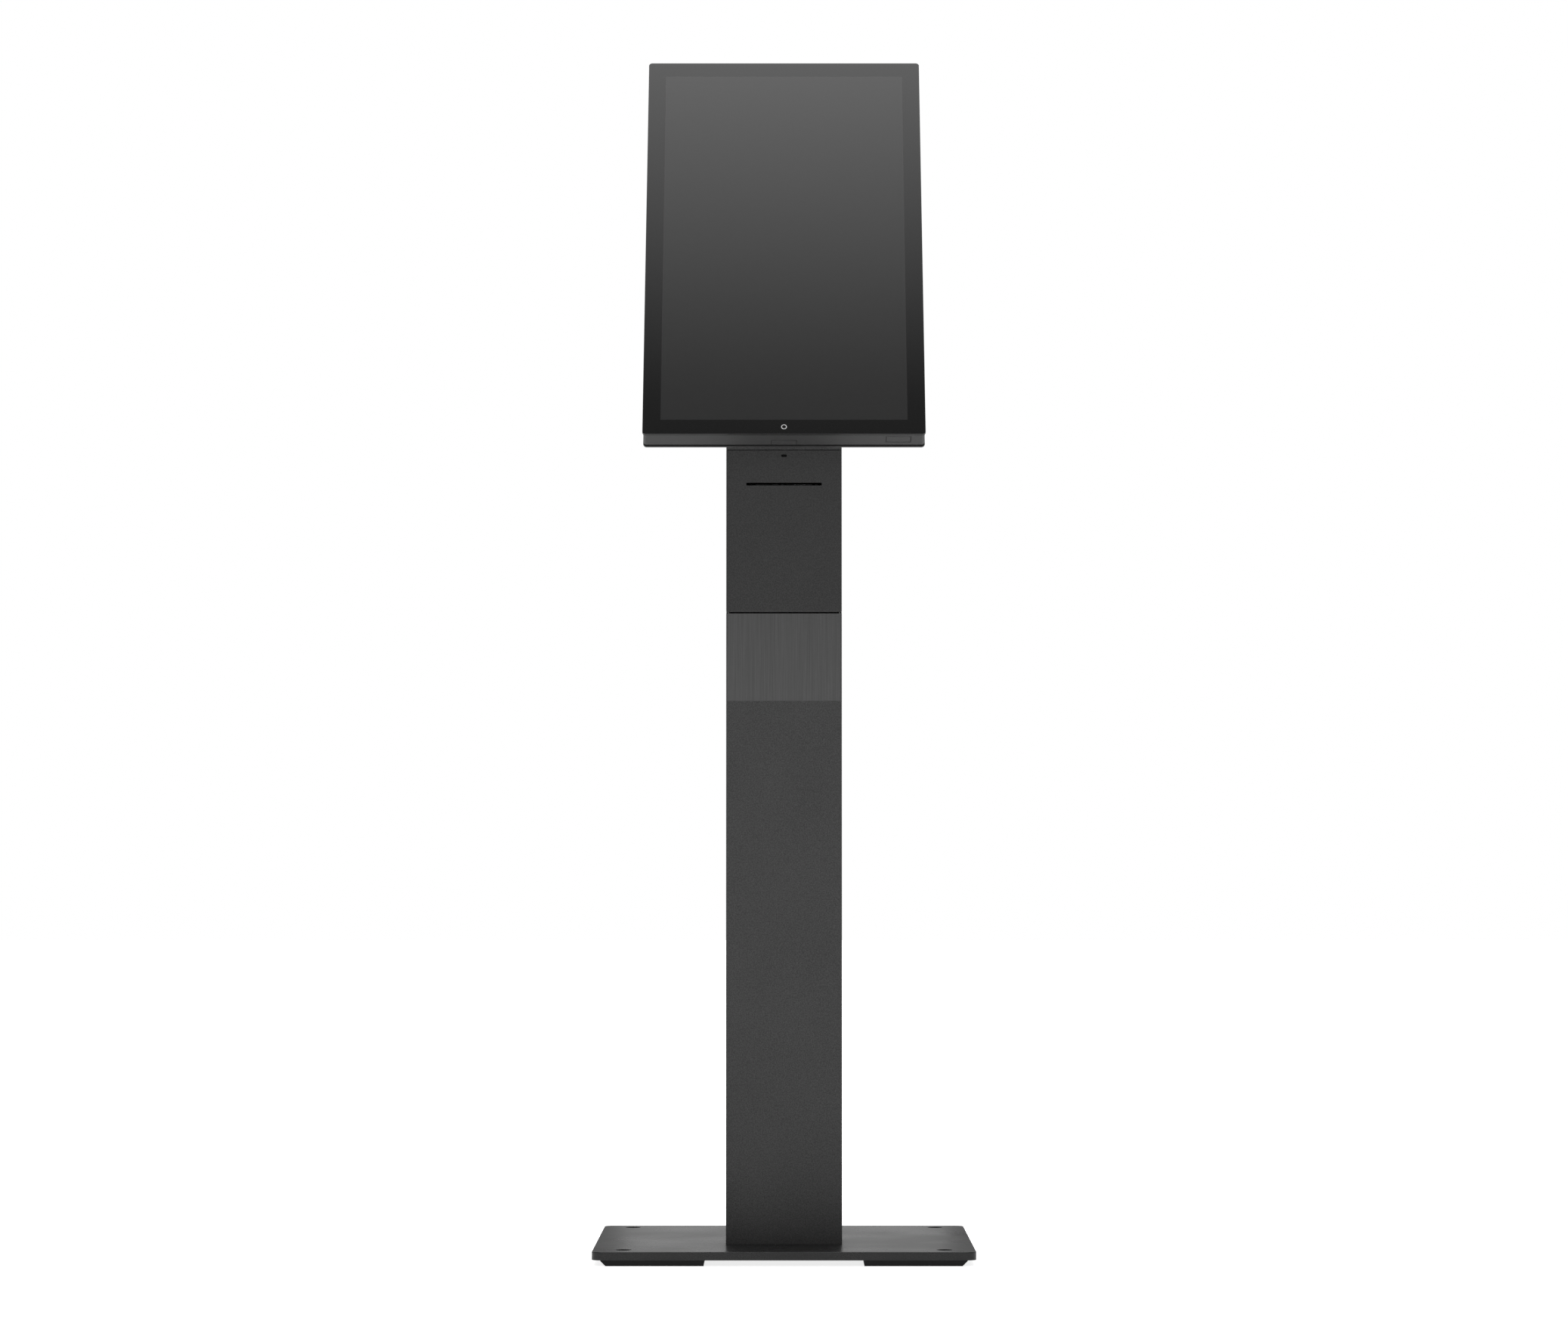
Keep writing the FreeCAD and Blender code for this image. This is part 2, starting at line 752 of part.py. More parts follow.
housing_front = glass_thick + tape_thick
frame_front = 18.5
frame_back = 20.0
board_front = 26.0
port_width = 29.3
port_side_inset = 17.85
port_x1 = glass_width / 2 - port_side_inset
port_x0 = port_x1 - port_width
port_t0, port_t1 = 6.8, 18.5
port_wall = 0.95
pocket_roof = 11.5
button_radius = 2.8
socket_width = 13.0
socket_inset = 3.0
window_margin = 4.5
panel_margin = 9.0
light_hole = 16.0
vent_count = 11
vent_pitch = 8.0
vent_slot = 3.2
vent_width = 160.0
vent_top_inset = 100.0
vent_low = 130.0
cover_screw = 1.5
cover_screw_inset = 15.0
board_thick = 1.6
speaker_width = 44.0
speaker_height = 36.0
speaker_front_inset = 60.0
speaker_spread = 69.75
centre_cover_width = 30.8
centre_cover_front = 14.5
cover_gap = 0.45


def cover_glass():
    glass = upright_plate(glass_width, 0, glass_height, 0, glass_thick, glass_corner)
    return edge_at(glass, lambda c: c.y < 0.01, 0.35, chamfer=True)


def glass_tape():
    inset = housing_inset + 0.4
    ring = upright_plate(glass_width - 2 * inset, inset, glass_height - inset, glass_thick,
        housing_front, 3.0)
    return ring.cut(screen_window(window_margin))


def screen_window(margin):
    """The opening round the screen, through everything in front of it."""
    w = screen_width / 2 + margin
    return box(-w, w, -1, 12, bezel_bottom - margin, bezel_bottom + screen_height + margin)


def head_housing():
    i = housing_inset
    outer = upright_plate(glass_width - 2 * i, i, glass_height - i, housing_front, housing_back, 3.6)
    cavity = upright_plate(glass_width - 2 * i - 2 * wall, i + wall, glass_height - i - wall,
        housing_front + 2.0, housing_back + 5, 1.5)
    shell = outer.cut(cavity).cut(screen_window(window_margin))
    m = port_wall + running
    shell = shell.cut(box(port_x0 - m, port_x1 + m, port_t0 - m, port_t1 + m, -1, i + wall + 1))
    c = centre_cover_width / 2
    return shell.cut(box(-c, c, centre_cover_front, housing_back + 1, -1, i + wall + 1))


def centre_cover():
    """The snap-in cover over the fixing screw in the underside, open to the seam."""
    c = centre_cover_width / 2 - cover_gap
    i = housing_inset
    cover = box(-c, c, centre_cover_front + cover_gap, housing_back, i, i + 1.8)
    tongue = box(-c + 4, c - 4, centre_cover_front - 2.0, housing_back - 2, i + wall, i + wall + 1.2)
    web = box(-c + 4, c - 4, centre_cover_front + 2.0, housing_back - 2, i + 1.7, i + wall + 0.1)
    return cover.fuse(web).fuse(tongue)


def port_pocket():
    """The small plastic box behind the flap, with the button's hole in its roof."""
    w = port_wall
    x0, x1, t0, t1 = port_x0 - w, port_x1 + w, port_t0 - w, port_t1 + w
    pocket = box(x0, x1, t0, t1, housing_inset, pocket_roof)
    pocket = pocket.cut(box(port_x0, port_x1, port_t0, port_t1, 0, pocket_roof - 1.5))
    bx, bt = button_place()
    pocket = pocket.cut(rod(button_radius + 0.35, (bx, bt, pocket_roof - 3), (bx, bt, pocket_roof + 1)))
    far = port_x1 - socket_inset
    pocket = pocket.cut(box(far - socket_width, far, bt - 2.6, bt + 2.6, pocket_roof - 3, pocket_roof + 1))
    ft, fs = flap_axis()
    return pocket.cut(rod(0.65, (x0 - 1, ft, fs), (x1 + 1, ft, fs)))


def button_place():
    return port_x0 + 8.0, (port_t0 + port_t1) / 2


def flap_axis():
    return port_t0 + 1.4, housing_inset + 1.1


def port_flap():
    ft, fs = flap_axis()
    x0, x1 = port_x0 + cover_gap, port_x1 - cover_gap
    flap = box(x0, x1, ft, port_t1 - cover_gap, housing_inset, housing_inset + 1.3)
    flap = flap.fuse(rod(1.1, (x0, ft, fs), (x1, ft, fs)))
    return flap.fuse(rod(0.6, (port_x0 - 0.7, ft, fs), (port_x1 + 0.7, ft, fs)))


def power_button():
    """The key's cap with its stem, hanging in the pocket's roof."""
    bx, bt = button_place()
    cap = rod(button_radius, (bx, bt, pocket_roof - 5.5), (bx, bt, pocket_roof - 1.7))
    return cap.fuse(rod(button_radius - 0.8, (bx, bt, pocket_roof - 2.0), (bx, bt, pocket_roof + 0.5)))


def usb_socket():
    """The socket's steel shell with the tongue inside it."""
    bt = button_place()[1]
    x0, x1 = port_x1 - socket_inset - socket_width + 0.1, port_x1 - socket_inset - 0.1
    low, high = pocket_roof - 3.5, pocket_roof + 1.5
    shell = box(x0, x1, bt - 2.5, bt + 2.5, low, high)
    shell = shell.cut(box(x0 + 0.5, x1 - 0.5, bt - 2.0, bt + 2.0, low - 1, high - 0.5))
    return shell.fuse(box(x0 + 0.9, x1 - 0.9, bt + 0.2, bt + 1.6, low + 0.6, high - 0.4))


def lcd_panel():
    w = screen_width / 2 + panel_margin
    top = bezel_bottom + screen_height + panel_margin
    return box(-w, w, housing_front + 2.1, frame_front, pocket_roof + 2.4, top)


def mid_frame():
    i = housing_inset + wall + 0.02
    plate = upright_plate(glass_width - 2 * i, i + 9.0, glass_height - i, frame_front, frame_back, 2.0)
    middle = glass_height / 2
    x, up = screen_width / 2 - 38.0, screen_height / 2 - 78.0
    for x, s in ((-x, middle), (x, middle), (0, middle + up), (0, middle - up)):
        plate = plate.cut(rod(light_hole, (x, frame_front - 1, s), (x, frame_back + 1, s)))
    return plate


def seam_gasket():
    inset = housing_inset + 1.7
    outer = upright_plate(glass_width - 2 * inset, inset, glass_height - inset, housing_back,
        rear_cover_front, 3.0)
    inner_inset = inset + 5.0
    width = glass_width - 2 * inner_inset
    return outer.cut(upright_plate(width, inner_inset, glass_height - inner_inset, 0, 40, 2.0))


def rectangle_at(t, margin, corner):
    """A closed rounded rectangle at one depth, a margin in from the glass edge."""
    w = glass_width / 2 - margin
    low, high = margin, glass_height - margin
    r = corner
    k = r * math.sqrt(0.5)
    def arc(cx, cz, sx, sz):
        return V(cx + sx * k, t, cz + sz * k)
    edges = [
        Part.LineSegment(V(-w + r, t, low), V(w - r, t, low)).toShape(),
        Part.Arc(V(w - r, t, low), arc(w - r, low + r, 1, -1), V(w, t, low + r)).toShape(),
        Part.LineSegment(V(w, t, low + r), V(w, t, high - r)).toShape(),
        Part.Arc(V(w, t, high - r), arc(w - r, high - r, 1, 1), V(w - r, t, high)).toShape(),
        Part.LineSegment(V(w - r, t, high), V(-w + r, t, high)).toShape(),
        Part.Arc(V(-w + r, t, high), arc(-w + r, high - r, -1, 1), V(-w, t, high - r)).toShape(),
        Part.LineSegment(V(-w, t, high - r), V(-w, t, low + r)).toShape(),
        Part.Arc(V(-w, t, low + r), arc(-w + r, low + r, -1, -1), V(-w + r, t, low)).toShape(),
    ]
    return Part.Wire(edges)


def rear_cover():
    lip = upright_plate(glass_width - 2 * lip_inset, lip_inset, glass_height - lip_inset,
        rear_cover_front, lip_back, 4.0)
    lip = edge_at(lip, lambda c: c.y > lip_back - 0.01, 2.4)
    m = bulge_margin
    bulge = Part.makeLoft([rectangle_at(lip_back - 0.5, m, 12.0),
        rectangle_at(bulge_depth, m + bulge_taper, 12.0)], True)
    inner = [rectangle_at(rear_cover_front - 1, m + 1.0, 10.0),
        rectangle_at(bulge_depth - wall, m + bulge_taper + wall, 10.0)]
    cover = lip.fuse(bulge).cut(Part.makeLoft(inner, True))
    w = vent_width / 2
    for i in range(vent_count):
        for middle in (glass_height - vent_top_inset, vent_low):
            s = middle + (i - vent_count // 2) * vent_pitch
            cover = cover.cut(box(-w, w, bulge_depth - wall - 1, bulge_depth + 1, s, s + vent_slot))
    for x, s in vesa_places():
        cover = cover.cut(rod(vesa_screw + 0.25, (x, bulge_depth - 5, s), (x, bulge_depth + 1, s)))
    for x, s in cover_screw_places():
        cover = cover.cut(rod(cover_screw + 0.2, (x, rear_cover_front - 1, s), (x, lip_back + 1, s)))
    return cover


def cover_screw_places():
    """Round the rim of the rear cover."""
    x = glass_width / 2 - cover_screw_inset
    return [(sx * x, s) for sx in (-1, 1) for s in (40.0, glass_height / 2, glass_height - 40.0)]


def cover_posts():
    """Bosses between the inner frame and the rear cover's rim."""
    posts = []
    for x, s in cover_screw_places():
        post = rod(cover_screw + 2.5, (x, frame_back, s), (x, rear_cover_front, s))
        posts.append(post.cut(rod(cover_screw, (x, frame_back + 1, s), (x, rear_cover_front + 1, s))))
    return group(posts)


def cover_screws():
    screws = []
    for x, s in cover_screw_places():
        head = rod(cover_screw + 1.4, (x, lip_back, s), (x, lip_back + 1.6, s))
        screws.append(head.fuse(rod(cover_screw, (x, frame_back + 1.5, s), (x, lip_back + 0.2, s))))
    return group(screws)


board_back = board_front + board_thick
main_board_floor = glass_height / 2 + vesa / 2 + 15.18
main_board_top = glass_height - 69.64
power_board_floor = speaker_front_inset + speaker_height + 9.0
power_board_top = glass_height / 2 - vesa / 2 - 39.82


def board(x0, x1, s0, s1):
    """A circuit board on four standoffs from the inner frame."""
    plate = box(x0, x1, board_front, board_back, s0, s1)
    for x in (x0 + 5, x1 - 5):
        for s in (s0 + 5, s1 - 5):
            plate = plate.fuse(rod(2.5, (x, frame_back, s), (x, board_front, s)))
    return plate


def main_board():
    return board(-75, 75, main_board_floor, main_board_top)


def power_board():
    return board(-45, 45, power_board_floor, power_board_top)


sink_width = 56.0
fin_count = 12
fan_size = 60.0
fan_spindle = 2.0


def heat_sink():
    """A base with upright fins, beside the fan on the main board."""
    t = board_back
    low, high = main_board_floor + 40.0, main_board_floor + 100.0
    x0 = -sink_width - 6.0
    sink = box(x0, -6.0, t, t + 3.0, low, high)
    for i in range(fin_count):
        x = x0 + i * sink_width / fin_count
        sink = sink.fuse(box(x, x + 1.6, t + 2.5, t + 13.0, low, high))
    return sink


def fan_place():
    return 32.0, main_board_floor + 70.0


def fan_frame():
    x, s = fan_place()
    t = board_back
    r = fan_size / 2
    frame = round_corners(box(x - r, x + r, t, t + 14, s - r, s + r), V(0, 1, 0), 4.0)
    frame = frame.cut(rod(r - 2.5, (x, t + 2.0, s), (x, t + 15, s)))
    spindle = rod(fan_spindle, (x, t + 1.5, s), (x, t + 9.0, s))
    return frame.fuse(spindle)


def fan_rotor():
    x, s = fan_place()
    t = board_back
    hub = rod(11.0, (x, t + 3.0, s), (x, t + 13.0, s))
    blades = []
    for i in range(7):
        blade = box(10.0, fan_size / 2 - 4.0, t + 3.6, t + 12.4, -0.7, 0.7)
        blade.rotate(V(18, t + 8.0, 0), V(1, 0, 0), 38)
        blade.rotate(V(0, 0, 0), V(0, 1, 0), i * 360.0 / 7.0)
        blade.translate(V(x, 0, s))
        blades.append(blade)
    rotor = hub.multiFuse(blades)
    return rotor.cut(rod(fan_spindle + running, (x, t + 1.0, s), (x, t + 9.5, s)))


def speakers():
    """Two closed cabinets, each with a cone in its back face."""
    back = frame_back + 14.0
    low, high = speaker_front_inset, speaker_front_inset + speaker_height
    boxes = []
    for sx in (-1, 1):
        x = sx * (glass_width / 2 - speaker_spread)
        cab = box(x - speaker_width / 2, x + speaker_width / 2, frame_back, back, low, high)
        cab = round_corners(cab, V(0, 1, 0), 4.0)
        boxes.append(cab.cut(Part.makeCone(12.0, 8.0, 4.0, V(x, back, (low + high) / 2), V(0, -1, 0))))
    return group(boxes)


# Printer --------------------------------------------------------------------------------------

def printer_shelf():
    """The shelf across the column, with its side edges turned down and a cable hole at the back."""
    front, back = spine_front + 10.6, column_back - sheet
    shelf = box(-inner_half, inner_half, front, back, shelf_floor, shelf_top)
    for sx in (-1, 1):
        x0, x1 = sorted((sx * inner_half, sx * (inner_half - side_thick)))
        shelf = shelf.fuse(box(x0, x1, front, back, shelf_floor - 10, shelf_top - 0.5))
    hole = box(-20, 20, back - 16.0, back - 6.0, shelf_floor - 2, shelf_top + 2)
    return shelf.cut(hole)


def printer_chassis():
    h = chassis_half
    front, low_front = spine_front + 0.6, spine_front + 10.6
    back = roll_y + roll_radius + 4.0
    chassis = box(-h, h, low_front, back, shelf_top, shelf_top + side_thick)
    for sx in (-1, 1):
        x0, x1 = sorted((sx * h, sx * (h + side_thick)))
        outline = [
            (low_front, shelf_top), (back, shelf_top), (back, roll_z + 24), (platen_y + 40, platen_z + 22),
            (front, platen_z + 22), (front, platen_z - 34), (low_front, platen_z - 40),
        ]
        side = prism_x(outline, x0, x1)
        chassis = chassis.fuse(side)
    chassis = chassis.cut(rod(platen_shaft + running, (-half, platen_y, platen_z),
        (half, platen_y, platen_z)))
    py, pz = pinion_place()
    chassis = chassis.cut(rod(motor_shaft_radius + 1.7, (0, py, pz), (half, py, pz)))
    return chassis.cut(rod(spindle_end, (-half, roll_y, roll_z), (half, roll_y, roll_z)))


def roll_spindle():
    h = chassis_half
    bar = rod(spindle_radius, (-h + 0.05, roll_y, roll_z), (h - 0.05, roll_y, roll_z))
    return bar.fuse(rod(spindle_end, (-h - side_thick, roll_y, roll_z), (h + side_thick, roll_y, roll_z)))


def paper_core():
    w = paper_width / 2
    tube = rod(core_radius + core_wall, (-w, roll_y, roll_z), (w, roll_y, roll_z))
    return tube.cut(rod(core_radius, (-w - 1, roll_y, roll_z), (w + 1, roll_y, roll_z)))


def paper_roll():
    w = paper_width / 2
    roll = rod(roll_radius, (-w, roll_y, roll_z), (w, roll_y, roll_z))
    return roll.cut(rod(core_radius + core_wall, (-w - 1, roll_y, roll_z), (w + 1, roll_y, roll_z)))


def platen_roller():
    w = platen_length / 2
    tube = rod(platen_radius, (-w, platen_y, platen_z), (w, platen_y, platen_z))
    return tube.cut(rod(platen_shaft, (-w - 1, platen_y, platen_z), (w + 1, platen_y, platen_z)))


def platen_shaft_bar():
    h = chassis_half + side_thick
    return rod(platen_shaft, (-h - 2.0, platen_y, platen_z), (h + 1.0 + gear_width, platen_y, platen_z))


def pinion_place():
    """The motor's place, below and behind the platen, one gear centre distance away."""
    distance = gear_module * (platen_teeth + pinion_teeth) / 2 + 0.12
    a = math.radians(mesh_angle)
    return platen_y + distance * math.cos(a), platen_z + distance * math.sin(a)


mesh_angle = -70.0


def gear(teeth, y, z, x0, x1, first, bore):
    """A spur gear with straight-sided teeth, one of which points at the first angle."""
    pitch = gear_module * teeth / 2
    levels = [
        (pitch - 1.2 * gear_module, 0.88 * gear_module),
        (pitch, 0.64 * gear_module),
        (pitch + 0.85 * gear_module, 0.33 * gear_module),
    ]
    points = []
    for i in range(teeth):
        middle = math.radians(first) + i * 2 * math.pi / teeth
        for radius, half_wide in levels:
            a = middle - half_wide / radius
            points.append((y + radius * math.cos(a), z + radius * math.sin(a)))
        for radius, half_wide in reversed(levels):
            a = middle + half_wide / radius
            points.append((y + radius * math.cos(a), z + radius * math.sin(a)))
    wheel = prism_x(points, x0, x1)
    return wheel.cut(rod(bore, (x0 - 1, y, z), (x1 + 1, y, z)))


def platen_gear():
    x0 = chassis_half + side_thick + 0.5
    first = mesh_angle + 180.0 / platen_teeth
    return gear(platen_teeth, platen_y, platen_z, x0, x0 + gear_width, first, platen_shaft)


def motor_pinion():
    y, z = pinion_place()
    x0 = chassis_half + side_thick + 0.5
    return gear(pinion_teeth, y, z, x0, x0 + gear_width, mesh_angle + 180.0, motor_shaft_radius)


def motor_shaft():
    y, z = pinion_place()
    return rod(motor_shaft_radius, (chassis_half - 8.0, y, z),
        (chassis_half + side_thick + gear_width + 1.5, y, z))


def stepper_motor():
    y, z = pinion_place()
    x1 = chassis_half
    can = rod(motor_radius, (x1 - 18.0, y, z), (x1, y, z))
    return can.cut(rod(motor_shaft_radius + running, (x1 - 9.0, y, z), (x1 + 1, y, z)))


def print_head():
    """The heated print bar on its aluminium block, behind the platen."""
    face = platen_y + platen_radius + 0.25
    h = chassis_half
    block = box(-h, h, face + 1.5, face + 9.0, platen_z - 6, platen_z + 9)
    bar = box(-platen_length / 2, platen_length / 2, face, face + 1.5, platen_z - 4, platen_z + 5)
    return block.fuse(bar)


def cutter_frame():
    """The guillotine's slotted frame, open below for the blade."""
    h = chassis_half
    w = cutter_half
    frame = box(-h, h, cutter_front, cutter_back, platen_z - 14, platen_z + 20)
    frame = frame.cut(box(-w, w, cutter_front - 1, cutter_back + 1, slot_z - 2.0, slot_z + 2.0))
    return frame.cut(box(-w, w, cutter_front + 1.0, cutter_front + 2.2, platen_z - 15, slot_z + 4.5))


def cutter_blade():
    w = cutter_half - 0.4
    return box(-w, w, cutter_front + 1.2, cutter_front + 2.0, platen_z - 12, slot_z - 2.4)


def printer_board():
    """The printer's own board, upright on the left side of its chassis."""
    x = -chassis_half - side_thick
    outer, inner = x - 4.0 - board_thick, x - 4.0
    low, high = roll_z + roll_radius + 7.0, platen_z + 14.0
    front = feed_place()[1]
    plate = box(outer, inner, front, front + 64.0, low, high)
    for y in (front + 6.0, front + 18.0):
        for z in (low + 10.0, platen_z - 14.0):
            plate = plate.fuse(rod(2.0, (inner - 0.2, y, z), (x, y, z)))
    return plate


def feed_place():
    x = -chassis_half - side_thick - 8.0
    return x, spine_front + 10.6, platen_z - 6.0


def feed_switch():
    x, y, z = feed_place()
    body = box(x - 4.5, x + 2.3, y - 3.0, y + 4.0, z - 4.0, z + 4.0)
    return body.cut(box(x - 3.1, x + 1.0, y - 4.0, y + 2.5, z - 2.6, z + 2.6))


def feed_button():
    x, y, z = feed_place()
    return box(x - 2.8, x + 0.7, y - 4.8, y + 0.8, z - 2.3, z + 2.3)


# Inside and at the back of the column ---------------------------------------------------------

def power_supply():
    """A closed supply on the column's left side, with cooling slots and a row of terminals on top."""
    x0 = -inner_half + 0.05
    x1 = x0 + supply_thick
    front, back = column_front + supply_front_room, column_back - supply_back_room
    case = box(x0, x1, front, back, supply_floor, supply_floor + supply_height)
    for i in range(10):
        z = supply_floor + 15.0 + i * 9.0
        case = case.cut(box(x1 - 1.0, x1 + 1.0, front + 8.0, back - 20.0, z, z + 4.0))
    for i in range(5):
        y = front + 10.0 + i * 11.0
        case = case.cut(box(x1 - 12.0, x1 + 1.0, y, y + 8.0, supply_floor + supply_height - 8.0,
            supply_floor + supply_height + 1))
    return case


def panel_piece(x, width, depth, flange_thick, cavity_width, cavity_tall, cavity_depth):
    """A socket body pushed in from the back of the column, with its flange outside and a hollow inside."""
    tall = inlet_tall / 2
    lap = flange_lap
    w = width / 2
    flange = box(x - w - lap, x + w + lap, column_back, column_back + flange_thick,
        inlet_z - tall - lap, inlet_z + tall + lap)
    w, tall = w - body_fit, tall - body_fit
    body = box(x - w, x + w, column_back - depth, column_back + 0.5, inlet_z - tall, inlet_z + tall)
    w, tall = cavity_width / 2, cavity_tall / 2
    hollow = box(x - w, x + w, column_back - cavity_depth, column_back + 3, inlet_z - tall, inlet_z + tall)
    return flange.fuse(body).cut(hollow)


def mains_inlet():
    """A three-pin appliance inlet in the back of the column."""
    inlet = panel_piece(0.0, inlet_width, 22.0, 1.8, inlet_width - 4.0, inlet_tall - 4.0, 16.0)
    for x, up in ((0, 2.5), (-7, -2.5), (7, -2.5)):
        z = inlet_z + up
        inlet = inlet.fuse(box(x - 1.0, x + 1.0, column_back - 17.0, column_back - 2.0, z - 2.0, z + 2.0))
    return inlet


def switch_housing():
    return panel_piece(switch_x, switch_width, 16.0, 1.5, switch_width - 3.2, inlet_tall - 3.0, 12.0)


rocker_tilt = 9.0
rocker_half = switch_width / 2 - 2.1
rocker_reach = inlet_tall / 2 - 2.8


def rocker():
    """The rocker key, resting in its on position."""
    y, z = column_back - 0.6, inlet_z
    outline = [
        (y - 3.0, z - 4), (y - 3.0, z + 4), (y + 3.6, z + rocker_reach), (y + 2.2, z), (y + 3.6,
            z - rocker_reach),
    ]
    key = prism_x(outline, switch_x - rocker_half, switch_x + rocker_half)
    key.rotate(V(switch_x, y, z), V(1, 0, 0), rocker_tilt)
    return key


sub_parts = {
    "base_plate": base_plate,
    "feet": lambda: group([foot(sx, sy) for sx in (-1, 1) for sy in (-1, 1)]),
    "foot_screws": foot_screws,
    "cable_grommet": cable_grommet,
    "column_flange": column_flange,
    "column_bolts": column_bolts,
    "column_spine": column_spine,
    "lower_cover": lower_cover,
    "brushed_panel": brushed_panel,
    "cover_rails": cover_rails,
    "cover_studs": cover_studs,
    "top_cover": top_cover,
    "service_door": service_door,
    "service_hinge_pins": service_hinge_pins,
    "lock_body": lock_body,
    "lock_plug": lock_plug,
    "printer_door": printer_door,
    "printer_door_pins": printer_door_pins,
    "slot_liner": slot_liner,
    "status_lens": status_lens,
    "door_catch": door_catch,
    "door_keeper": door_keeper,
    "tilt_yoke": tilt_yoke,
    "yoke_screws": yoke_screws,
    "tilt_pin": tilt_pin_bolt,
    "friction_washers": friction_washers,
    "vesa_plate": lambda: on_head(vesa_plate()),
    "vesa_fixings": lambda: on_head(group(vesa_posts().Solids + vesa_screws().Solids)),
    "cover_glass": lambda: on_head(cover_glass()),
    "glass_tape": lambda: on_head(glass_tape()),
    "head_housing": lambda: on_head(head_housing()),
    "centre_cover": lambda: on_head(centre_cover()),
    "port_pocket": lambda: on_head(group([port_pocket(), usb_socket()])),
    "port_flap": lambda: on_head(port_flap()),
    "power_button": lambda: on_head(power_button()),
    "lcd_panel": lambda: on_head(lcd_panel()),
    "mid_frame": lambda: on_head(mid_frame()),
    "seam_gasket": lambda: on_head(seam_gasket()),
    "rear_cover": lambda: on_head(rear_cover()),
    "cover_fixings": lambda: on_head(group(cover_posts().Solids + cover_screws().Solids)),
    "display_boards": lambda: on_head(group([main_board(), power_board()])),
    "heat_sink": lambda: on_head(heat_sink()),
    "fan_frame": lambda: on_head(fan_frame()),
    "fan_rotor": lambda: on_head(fan_rotor()),
    "speakers": lambda: on_head(speakers()),
    "printer_frame": lambda: printer_shelf().fuse(printer_chassis()),
    "roll_spindle": roll_spindle,
    "paper_roll": lambda: group(paper_roll().Solids + paper_core().Solids),
    "platen_roller": platen_roller,
    "platen_drive": lambda: group([platen_shaft_bar().fuse(platen_gear())]),
    "motor_pinion": lambda: motor_shaft().fuse(motor_pinion()),
    "stepper_motor": stepper_motor,
    "print_head": print_head,
    "cutter_frame": cutter_frame,
    "cutter_blade": cutter_blade,
    "printer_board": lambda: group([printer_board().fuse(feed_switch())]),
    "feed_button": feed_button,
    "power_supply": power_supply,
    "mains_inlet": lambda: group([mains_inlet(), switch_housing()]),
    "switch_rocker": rocker,
}

os.makedirs("parts", exist_ok=True)
for name, make in sub_parts.items():
    shape = make()
    for solid in shape.Solids:
        if not solid.isValid() or solid.Volume <= 0:
            print("not a sound solid:", name)
    shape.exportStep("parts/" + name + ".step")
print(len(sub_parts), "sub-parts")
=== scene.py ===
import math

import bpy
import numpy as np
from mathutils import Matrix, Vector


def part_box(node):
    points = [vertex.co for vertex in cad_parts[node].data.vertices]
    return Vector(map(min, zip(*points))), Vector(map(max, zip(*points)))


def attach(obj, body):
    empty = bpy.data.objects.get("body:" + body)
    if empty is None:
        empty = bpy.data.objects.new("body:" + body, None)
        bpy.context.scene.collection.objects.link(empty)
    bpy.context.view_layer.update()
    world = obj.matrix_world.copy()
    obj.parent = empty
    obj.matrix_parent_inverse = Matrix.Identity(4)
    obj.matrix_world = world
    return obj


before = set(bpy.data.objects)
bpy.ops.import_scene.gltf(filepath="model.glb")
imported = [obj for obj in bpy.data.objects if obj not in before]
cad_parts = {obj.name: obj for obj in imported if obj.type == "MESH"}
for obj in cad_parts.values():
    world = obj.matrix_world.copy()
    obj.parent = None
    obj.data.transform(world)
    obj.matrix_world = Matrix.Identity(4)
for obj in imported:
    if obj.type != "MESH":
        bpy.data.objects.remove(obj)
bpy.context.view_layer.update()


# Studio ---------------------------------------------------------------------------------------
# A pale floor in a white studio: bright behind, dimmer in front, with a ceiling of diffusers
# overhead. Two small soft boxes fill in the shade, one in front and one low behind.

def linear(hex_text):
    """An sRGB hex colour as linear red, green, blue and 1."""
    channels = [int(hex_text[i:i + 2], 16) / 255 for i in (1, 3, 5)]
    return [c / 12.92 if c <= 0.04045 else ((c + 0.055) / 1.055) ** 2.4 for c in channels] + [1.0]


def add_node(tree, kind, settings=None, links=None):
    """A node with its settings and its links. A setting is an input socket or a property."""
    node = tree.nodes.new(kind)
    for name, value in (settings or {}).items():
        if hasattr(node, str(name)):
            setattr(node, name, value)
        else:
            node.inputs[name].default_value = value
    for name, source in (links or {}).items():
        tree.links.new(source, node.inputs[name])
    return node


